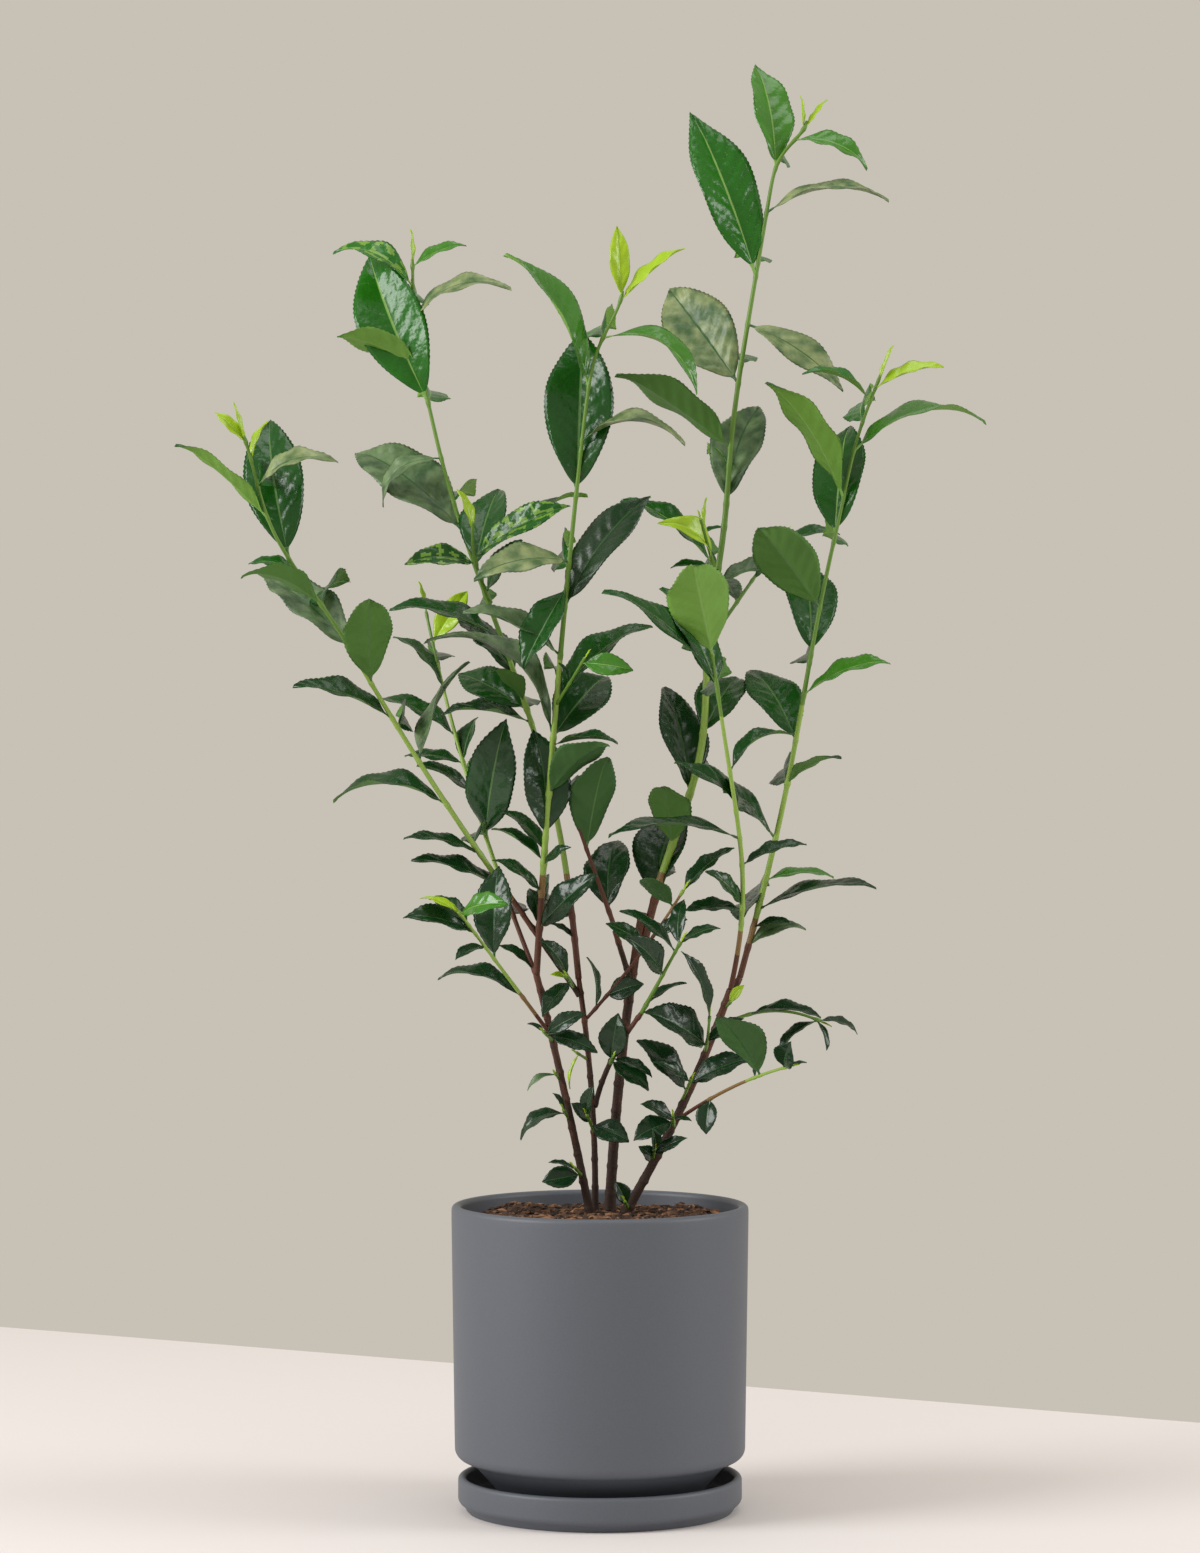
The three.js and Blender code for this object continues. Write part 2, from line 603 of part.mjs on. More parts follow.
// Those of a shoot's leaves that touch no limb, stem or leaf outside the shoot.
function leafSolids(shoot, leaves, standing, taken, skipped) {
  const curve = new BowedLine(shoot);
  const rise = shoot.to[2] - shoot.from[2];
  const others = [...standing, ...taken].filter((other) => other.name !== shoot.name);
  const kept = [];
  leaves.forEach((leaf, k) => {
    const t = THREE.MathUtils.clamp((leaf.height - shoot.from[2]) / rise, 0.05, 0.99);
    const solid = solidOf(leafGeometry(curve.getPoint(t), leaf));
    const hit = others.some((other) => touches(solid, other.grown));
    if (hit) skipped.push(`${shoot.name} ${k}`);
    else kept.push(solid);
  });
  taken.push(...kept.map((grown) => ({ name: shoot.name, grown })));
  return kept;
}

// ---------------------------------------------------------------- the whole plant
const group = new THREE.Group();

function addPiece(name, geometry, colour, roughness) {
  const material = new THREE.MeshStandardMaterial({ color: colour, roughness, metalness: 0 });
  const mesh = new THREE.Mesh(geometry, material);
  mesh.name = name;
  group.add(mesh);
}

addPiece('saucer', saucer(), colours.pot, 0.85);
addPiece('pot', pot(), colours.pot, 0.85);
addPiece('soil', soil(), colours.soil, 1);

const standing = [];
for (const limb of [...canes, ...boughs]) {
  const whole = solidOf(limbGeometry(limb, LIMB_SIDES));
  const solid = largestPiece(standing.reduce(
    (a, b) => (touches(a, b.grown) ? a.subtract(b.grown) : a), whole));
  standing.push({ name: limb.name, grown: solidOf(limbGeometry(limb, LIMB_SIDES, CLEAR)) });
  addPiece(limb.name, geometryOf(solid), colours.wood, 0.9);
}

const stems = shoots.map((shoot) => {
  const solid = stemSolid(shoot, standing);
  standing.push({ name: shoot.name, grown: solidOf(limbGeometry(shoot, TWIG_SIDES, CLEAR)) });
  return solid;
});

const taken = [];
const skipped = [];
const front = shoots.map((shoot) => leafSolids(shoot, ownLeaves(shoot), standing, taken, skipped));
const back = shoots.map((shoot, k) => (
  leafSolids(shoot, backLeaves(shoot, k + 1), standing, taken, skipped)));
shoots.forEach((shoot, k) => {
  const mass = largestPiece([...front[k], ...back[k]].reduce((a, b) => a.add(b), stems[k]));
  addPiece(shoot.name, geometryOf(mass), colours.leaf, 0.5);
});
group.userData.skipped = skipped;

export default group;
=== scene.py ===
"""Potted tea bush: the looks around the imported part. Shapes are worked out in millimetres."""

import math

import bpy
import numpy as np
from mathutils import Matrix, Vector


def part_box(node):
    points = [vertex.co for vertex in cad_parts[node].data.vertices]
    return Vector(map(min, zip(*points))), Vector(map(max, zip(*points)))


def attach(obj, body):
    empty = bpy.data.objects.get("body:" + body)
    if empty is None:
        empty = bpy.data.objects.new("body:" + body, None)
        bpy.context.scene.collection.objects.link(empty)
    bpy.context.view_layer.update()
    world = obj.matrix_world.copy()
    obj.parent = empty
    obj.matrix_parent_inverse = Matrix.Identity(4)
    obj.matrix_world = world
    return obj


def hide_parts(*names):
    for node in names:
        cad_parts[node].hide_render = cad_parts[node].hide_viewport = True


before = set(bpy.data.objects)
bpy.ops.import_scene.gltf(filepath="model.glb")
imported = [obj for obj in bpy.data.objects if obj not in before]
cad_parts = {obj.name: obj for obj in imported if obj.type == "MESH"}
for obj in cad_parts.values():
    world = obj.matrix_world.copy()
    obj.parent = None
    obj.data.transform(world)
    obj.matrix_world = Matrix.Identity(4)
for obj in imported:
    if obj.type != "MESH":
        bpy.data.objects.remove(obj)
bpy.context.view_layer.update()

MM = 0.001
TAU = 2 * math.pi


# ---------------------------------------------------------------- small tools
def draw(seed, k):
    """A repeatable value from 0 to 1 for the k-th draw of a seed."""
    v = math.sin(seed * 12.9898 + k * 78.233) * 43758.5453
    return v - math.floor(v)


def unit(v):
    return v / np.linalg.norm(v)


def bell(x, width):
    return np.exp(-((x / width) ** 2))


def smooth_step(x, low, high):
    t = np.clip((x - low) / (high - low), 0, 1)
    return t * t * (3 - 2 * t)


def srgb(red, green, blue):
    """Display values from 0 to 255 as a linear colour."""
    return tuple(
        c / 12.92 if c <= 0.04045 else ((c + 0.055) / 1.055) ** 2.4
        for c in (red / 255, green / 255, blue / 255)
    )


def node_box(name):
    """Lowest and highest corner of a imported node, in millimetres."""
    low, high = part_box(name)
    return np.array(low) / MM, np.array(high) / MM


class Skin:
    """Collects rings of points into one joined mesh with a material slot for each face."""

    def __init__(self):
        self.points, self.loops, self.sizes, self.slots = [], [], [], []
        self.count = 0

    def add(self, points, faces, slots):
        faces = np.asarray(faces)
        self.points.append(points)
        self.loops.append((faces + self.count).ravel())
        self.sizes.append(np.full(len(faces), faces.shape[1]))
        self.slots.append(np.asarray(slots))
        self.count += len(points)

    def add_rings(self, rings, slots):
        """rings is steps x sides x 3, slots is (steps - 1) x sides; both ends are capped."""
        steps, sides, _ = rings.shape
        r, i = np.meshgrid(np.arange(steps - 1), np.arange(sides), indexing="ij")
        j = (i + 1) % sides
        quads = np.stack([r * sides + i, r * sides + j, (r + 1) * sides + j, (r + 1) * sides + i], -1)
        base = self.count
        self.add(rings.reshape(-1, 3), quads.reshape(-1, 4), slots.ravel())
        foot = base + np.arange(sides)[::-1]
        tip = base + (steps - 1) * sides + np.arange(sides)
        for cap, slot in ((foot, slots[0, 0]), (tip, slots[-1, 0])):
            self.loops.append(cap)
            self.sizes.append(np.array([sides]))
            self.slots.append(np.array([slot]))

    def piece(self, name, materials, slot, replaces=()):
        mesh = bpy.data.meshes.new(name)
        points = np.concatenate(self.points) * MM
        loops = np.concatenate(self.loops)
        sizes = np.concatenate(self.sizes)
        mesh.vertices.add(len(points))
        mesh.vertices.foreach_set("co", points.astype(np.float32).ravel())
        mesh.loops.add(len(loops))
        mesh.loops.foreach_set("vertex_index", loops.astype(np.int32))
        mesh.polygons.add(len(sizes))
        starts = np.concatenate([[0], np.cumsum(sizes)[:-1]])
        mesh.polygons.foreach_set("loop_start", starts.astype(np.int32))
        mesh.polygons.foreach_set("material_index", np.concatenate(self.slots).astype(np.int32))
        mesh.polygons.foreach_set("use_smooth", np.ones(len(sizes), bool))
        for material in materials:
            mesh.materials.append(material)
        mesh.update(calc_edges=True)
        obj = bpy.data.objects.new(name, mesh)
        bpy.context.scene.collection.objects.link(obj)
        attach(obj, "root")
        if replaces:
            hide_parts(*replaces)
        return obj


# ---------------------------------------------------------------- materials
GRAIN_DETAIL = 6
LEATHER_SCALE, LEATHER_DETAIL, LEATHER_DEPTH = 130, 2, 2


def plain(name, colour, roughness, **sockets):
    material = bpy.data.materials.new(name)
    material.use_nodes = True
    shader = material.node_tree.nodes["Principled BSDF"]
    shader.inputs["Base Color"].default_value = (*colour, 1)
    shader.inputs["Roughness"].default_value = roughness
    for socket, value in sockets.items():
        shader.inputs[socket.replace("_", " ")].default_value = value
    return material


def add_relief(material, scale, detail, strength, depth):
    """Makes the surface rise and fall with a noise, whose node it returns; depth is in millimetres."""
    tree = material.node_tree
    place = tree.nodes.new("ShaderNodeTexCoord")
    noise = tree.nodes.new("ShaderNodeTexNoise")
    noise.inputs["Scale"].default_value = scale
    noise.inputs["Detail"].default_value = detail
    relief = tree.nodes.new("ShaderNodeBump")
    relief.inputs["Strength"].default_value = strength
    relief.inputs["Distance"].default_value = depth * MM
    tree.links.new(place.outputs["Object"], noise.inputs["Vector"])
    tree.links.new(noise.outputs["Fac"], relief.inputs["Height"])
    tree.links.new(relief.outputs["Normal"], tree.nodes["Principled BSDF"].inputs["Normal"])
    return noise


def grainy(name, colour, other, roughness, scale, bump, spread=0.5, depth=0.3):
    """A material whose colour drifts between two tones with its grain."""
    material = plain(name, colour, roughness)
    noise = add_relief(material, scale, GRAIN_DETAIL, bump, depth)
    tree = material.node_tree
    ramp = tree.nodes.new("ShaderNodeValToRGB")
    ramp.color_ramp.elements[0].position = 0.5 - spread / 2
    ramp.color_ramp.elements[1].position = 0.5 + spread / 2
    ramp.color_ramp.elements[0].color = (*colour, 1)
    ramp.color_ramp.elements[1].color = (*other, 1)
    tree.links.new(noise.outputs["Fac"], ramp.inputs["Fac"])
    tree.links.new(ramp.outputs["Color"], tree.nodes["Principled BSDF"].inputs["Base Color"])
    return material


def leathery(name, colour, roughness, bump, **sockets):
    """A plain colour whose surface swells and dips like a tea leaf's between its finest veins."""
    material = plain(name, colour, roughness, **sockets)
    add_relief(material, LEATHER_SCALE, LEATHER_DETAIL, bump, LEATHER_DEPTH)
    return material


# Painted shade and light: upper sides go from a darker tone for the shaded foot of the bush to a brighter
# one for its sunlit top, and undersides likewise.
LEAF_TOPS = [
    srgb(14, 47, 21), srgb(15, 52, 20), srgb(16, 62, 17),
    srgb(15, 72, 11), srgb(18, 84, 7), srgb(26, 100, 6),
]
UNDERSIDES = [srgb(56, 94, 44), srgb(76, 118, 48), srgb(104, 148, 56)]
leaf_materials = [
    leathery(f"leaf_upper_{k}", c, roughness=0.27, bump=0.55, Specular_IOR_Level=0.42)
    for k, c in enumerate(LEAF_TOPS)
]
leaf_materials += [
    leathery(f"leaf_under_{k}", c, roughness=0.65, bump=0.3, Specular_IOR_Level=0.3)
    for k, c in enumerate(UNDERSIDES)
]
UNDER = len(LEAF_TOPS)
NAMED = UNDER + len(UNDERSIDES)
# Leaves and midribs with a tone of their own, each with its roughness.
NAMED_TONES = {
    # The three midrib tones are painted shade, half light and painted light of one midrib, picked by
    # height; some tinted leaves take the dark one as well.
    "midrib_dark": (srgb(40, 84, 34), 0.4),
    "midrib_low": (srgb(74, 112, 52), 0.45),
    "midrib_high": (srgb(118, 160, 72), 0.45),
    "midrib_young": (srgb(178, 208, 84), 0.4),
    "leaf_young": (srgb(152, 186, 22), 0.32),
    "leaf_bright": (srgb(56, 118, 20), 0.25),
    "leaf_dull": (srgb(20, 52, 22), 0.35),
    "leaf_light_under": (srgb(104, 150, 54), 0.6),
    "leaf_pale_patch": (srgb(104, 146, 44), 0.35),
}
leaf_materials += [leathery(name, colour, rough, bump=0.4) for name, (colour, rough) in NAMED_TONES.items()]
# Leaves with painted sheen: the grey-green glare of light on their glossy sides is painted into their
# colour, which drifts between two tones.
MOTTLED_TONES = {
    "leaf_grey_painted_sheen": (srgb(42, 76, 38), srgb(102, 128, 84)),
    "leaf_pale_painted_sheen": (srgb(56, 90, 44), srgb(134, 148, 98)),
}
leaf_materials += [
    grainy(name, dark, light, roughness=0.42, scale=95, bump=0.6, spread=0.3, depth=2)
    for name, (dark, light) in MOTTLED_TONES.items()
]
SLOT = {name: NAMED + k for k, name in enumerate([*NAMED_TONES, *MOTTLED_TONES])}

# Stem colours from old wood to the newest growth.
STEM_TONES = [
    srgb(40, 23, 16), srgb(48, 27, 18), srgb(76, 37, 18),
    srgb(124, 96, 52), srgb(92, 130, 38), srgb(134, 166, 66),
]
stem_materials = [
    grainy("bark_old", STEM_TONES[0], srgb(60, 39, 27), roughness=0.8, scale=900, bump=0.5),
    grainy("bark_brown", STEM_TONES[1], srgb(69, 42, 28), roughness=0.75, scale=900, bump=0.4),
    grainy("bark_red", STEM_TONES[2], srgb(91, 49, 26), roughness=0.6, scale=700, bump=0.2),
    *[plain(f"stem_green_{k}", c, roughness=0.45) for k, c in enumerate(STEM_TONES[3:])],
]
OLD_BARK, BROWN_BARK, RED_BARK, TAN, GREEN, BRIGHT_GREEN = range(6)


# ---------------------------------------------------------------- stems
class BowedLine:
    """A line from one point to another, bowed to one side and swayed like an S.

    Each bend is its place along the line, how far it spreads, and its shift to the right.
    """

    def __init__(self, start, end, bow=(0, 0, 0), sway=(0, 0, 0), bends=()):
        self.start, self.end = np.array(start, float), np.array(end, float)
        self.bow, self.sway = np.array(bow, float), np.array(sway, float)
        self.bends = bends

    def at(self, t):
        t = np.asarray(t, float)[..., None]
        straight = self.start + (self.end - self.start) * t
        points = straight + self.bow * 4 * t * (1 - t) + self.sway * np.sin(TAU * t)
        for place, spread, shift in self.bends:
            points = points + np.array([shift, 0, 0]) * bell(t - place, spread)
        return points

    def length(self):
        points = self.at(np.linspace(0, 1, 60))
        return np.linalg.norm(np.diff(points, axis=0), axis=1).sum()


def tube_rings(line, radius_at, sides, steps, flat_foot=False):
    """radius_at takes the place along the line and the angle, both as grids."""
    t = np.linspace(0, 1, steps)
    centres = line.at(t)
    ahead = line.at(t + 0.01) - line.at(t - 0.01)
    ahead /= np.linalg.norm(ahead, axis=1)[:, None]
    if flat_foot:
        ahead[0] = (0, 0, 1)
    side = np.cross([0, 1, 0], ahead)
    side /= np.linalg.norm(side, axis=1)[:, None]
    up = np.cross(ahead, side)
    angle = np.arange(sides) / sides * TAU
    radius = radius_at(t[:, None], angle[None, :])[..., None]
    around = np.cos(angle)[None, :, None] * side[:, None] + np.sin(angle)[None, :, None] * up[:, None]
    return centres[:, None] + radius * around


# ---------------------------------------------------------------- leaves
# Widths and arches of leaves are shares of their length.
LEAF_WIDTH, LEAF_ARCH = 0.4, 0.08
BUD_WIDTH = 0.22
LONG_BUD, SHORT_BUD = 24, 9
LONG_SHOOT = 110  # a shoot that rises further than this counts as long
PETIOLE = 0.06  # the stalk's share of the leaf's length
STALK_ROWS = 3  # rows of faces along the stalk
STALK_BASE, STALK_GROWTH = 0.35, 0.006  # its radius is the base and this share of the leaf's length
TOOTH = 3.4  # from one tooth of the margin to the next
TOOTH_DEPTH, YOUNG_TOOTH_DEPTH = 0.55, 0.1
FULL_TEETH = 50  # shorter leaves have shallower teeth
BLADE = 0.28  # half the thickness of the blade
BLADE_FADE = 0.12  # the relief grows to its full height over this share of the blade
VEIN_SPACING = 11
VEIN_SLANT = 0.2
GROOVE = 0.25  # depth of the groove over the midrib
RIB_REACH = 0.9  # how far the groove and the midrib spread to each side
FOLD = 0.26  # how far the margins rise on average, as a share of half the width
# Shares of the leaf's length, which each leaf varies: swelling between veins, ripple of the
# margins, droop of the tip and sideways sweep.
QUILT, RIPPLE, TIP_DROOP, SWEEP = 0.013, 0.018, 0.06, 0.05
TWIST = 24  # degrees between a tip turned all to one side and one turned all to the other
# Places across the blade, from one margin to the other; the midrib lies between the middle two.
HALF_ACROSS = np.array([1, 0.86, 0.7, 0.55, 0.4, 0.26, 0.14, 0.035])
ACROSS = np.concatenate([-HALF_ACROSS, HALF_ACROSS[::-1]])


def leaf_frame(lean, away, show):
    lean, away = math.radians(lean), math.radians(away)
    along = np.array([math.sin(lean) * math.cos(away), math.sin(away), math.cos(lean) * math.cos(away)])
    front = np.array([0, -1.0, 0])
    front = unit(front - front.dot(along) * along)
    edge = np.cross(front, along)
    if edge[2] < 0:
        edge = -edge
    normal = front * show + edge * math.sqrt(1 - show * show)
    return along, normal, np.cross(normal, along)


def outline(u):
    """Half width of the blade along its length, as a share of the widest place."""
    return np.sin(math.pi * np.clip(u, 0, 1) ** 0.93) ** 0.82


def blade_lift(length, half, u, seed):
    """How far the blade rises from a flat leaf: swelling, fold, ripples and a drooping tip."""
    v = ACROSS[None, :]
    reach = np.abs(v)
    place = u[:, None]
    on_blade = smooth_step(place, 0, BLADE_FADE)
    veins = max(5, round(length / VEIN_SPACING))
    phase = (place - VEIN_SLANT * reach**1.3) * veins + 0.5 * (v > 0)
    swell = np.abs(np.sin(math.pi * phase)) ** 0.7 * np.sin(math.pi * np.clip(reach, 0, 1)) ** 0.8
    quilt = length * QUILT * (0.6 + 0.8 * draw(seed, 31)) * swell * on_blade
    curl = half[:, None] * (FOLD * (0.5 + draw(seed, 33)) * reach**1.4) * on_blade
    waves = 1.5 + 1.5 * draw(seed, 35)
    wave = np.sin(TAU * (waves * place + draw(seed, 36) + 0.37 * (v > 0)))
    ripple = length * RIPPLE * reach**2 * wave * on_blade
    tip = -length * TIP_DROOP * (0.3 + draw(seed, 37)) * smooth_step(place, 0.7, 1.1) ** 2
    return quilt + curl + ripple + tip


def leaf_faces(rows, slots, tint, seed):
    """Slots of the faces around a leaf, row by row: those of its upper side, then its underside."""
    columns = len(ACROSS) - 1
    rib = columns // 2
    upper = np.full(columns, slots[0])
    under = np.full(columns, slots[1])
    upper[rib] = under[rib] = slots[2]
    faces = np.tile(np.concatenate([upper, under]), (rows, 1))
    faces[:STALK_ROWS] = slots[2]
    if tint == "patched":
        r, c = np.meshgrid(np.arange(rows), np.arange(columns), indexing="ij")
        spots = np.sin(r * 1.1 + seed) + np.sin(c * 1.3 + seed * 2) + np.sin(r * 0.6 - c * 1.1)
        pale = (spots > 0.6) & (c != rib) & (r > STALK_ROWS)
        faces[:, :columns][pale] = SLOT["leaf_pale_patch"]
    return faces


def add_leaf(skin, root, leaf, seed, slots, tint):
    """slots is (upper, under, rib); pale patches may take some faces of the upper side."""
    length = leaf["length"]
    along, normal, side = leaf_frame(leaf["lean"], leaf["away"], leaf["show"])
    teeth = max(8, round(length / TOOTH))
    blade = np.linspace(0.012, 0.992, 2 * teeth + 1)
    t = np.concatenate([[0, 0.35 * PETIOLE, 0.8 * PETIOLE], PETIOLE + (1 - PETIOLE) * blade])
    u = (t - PETIOLE) / (1 - PETIOLE)
    stalk = STALK_BASE + length * STALK_GROWTH
    half = np.where(u > 0, length * leaf["width"] / 2 * outline(u), 0)
    depth = YOUNG_TOOTH_DEPTH if tint == "young" else TOOTH_DEPTH * min(1, length / FULL_TEETH)
    notch = np.where(np.arange(len(t)) % 2 == 0, depth, 0) * smooth_step(u, 0.05, 0.2)
    half = np.maximum(half - notch * np.minimum(1, half / 3), stalk * (1 - 0.6 * np.clip(u, 0, 1)))

    v = ACROSS[None, :]
    reach = np.abs(v)
    place = u[:, None]
    over_rib = bell(v * half[:, None], RIB_REACH) * smooth_step(place, 0, BLADE_FADE)
    blade_half = BLADE * np.sqrt(np.clip(1 - reach**4, 0, 1))
    thick = np.where(place > 0, blade_half, stalk * np.sqrt(np.clip(1 - v**2, 0, 1)))
    ridge = stalk * (1 - 0.75 * np.clip(place, 0, 1)) * over_rib
    lift = blade_lift(length, half, u, seed)
    upper = lift + thick - GROOVE * over_rib
    under = lift - thick - ridge

    sweep = length * SWEEP * (draw(seed, 38) - 0.5) * np.sin(math.pi * t)
    spine = (
        root
        + along * (length * t)[:, None]
        + normal * (length * leaf["arch"] * 4 * t * (1 - t))[:, None]
        + side * sweep[:, None]
    )
    forward = along * (0.5 * notch)[:, None]
    twist = math.radians(TWIST) * (draw(seed, 39) - 0.5) * t
    across = side * np.cos(twist)[:, None] + normal * np.sin(twist)[:, None]
    above = normal * np.cos(twist)[:, None] - side * np.sin(twist)[:, None]
    flat = spine[:, None] + across[:, None] * (half[:, None] * v)[..., None]
    flat = flat - forward[:, None] * (reach**6)[..., None]
    top = flat + above[:, None] * upper[..., None]
    bottom = flat + above[:, None] * under[..., None]
    top[:, 0] = bottom[:, 0] = (top[:, 0] + bottom[:, 0]) / 2
    top[:, -1] = (top[:, -1] + bottom[:, -1]) / 2
    rings = np.concatenate([top[:, ::-1], bottom[:, 1:-1]], axis=1)
    skin.add_rings(rings, leaf_faces(len(t) - 1, slots, tint, seed))


def leaf_of(row):
    height, lean, away, length, show, *rest = row
    arch, width = (*rest, *(LEAF_ARCH, LEAF_WIDTH)[len(rest):])
    return dict(height=height, lean=lean, away=away, length=length, show=show, arch=arch, width=width)


BACK_STRETCH = 62  # a shoot has one leaf at its back for each such stretch


def back_leaves(shoot, seed):
    """Leaves on the far side of a shoot that is at least two stretches long."""
    low, rise = shoot["from"][2], shoot["to"][2] - shoot["from"][2]
    count = 0 if rise < 2 * BACK_STRETCH else int(rise // BACK_STRETCH)
    return [
        dict(
            height=low + rise * (k + 0.6) / count,
            lean=-50 + 100 * draw(seed, 3 * k),
            away=70 + 14 * draw(seed, 3 * k + 1),
            length=50 + 18 * draw(seed, 3 * k + 2),
            show=0.2,
            arch=LEAF_ARCH,
            width=LEAF_WIDTH,
        )
        for k in range(count)
    ]


def bud_of(shoot, line):
    """The rolled leaf at the tip, longer on a long shoot."""
    ahead = unit(line.at(1.0) - line.at(0.96))
    return dict(
        height=shoot["to"][2],
        lean=math.degrees(math.atan2(ahead[0], ahead[2])),
        away=math.degrees(math.asin(ahead[1])),
        length=SHORT_BUD if shoot["to"][2] - shoot["from"][2] < LONG_SHOOT else LONG_BUD,
        show=0.5,
        arch=0,
        width=BUD_WIDTH,
    )


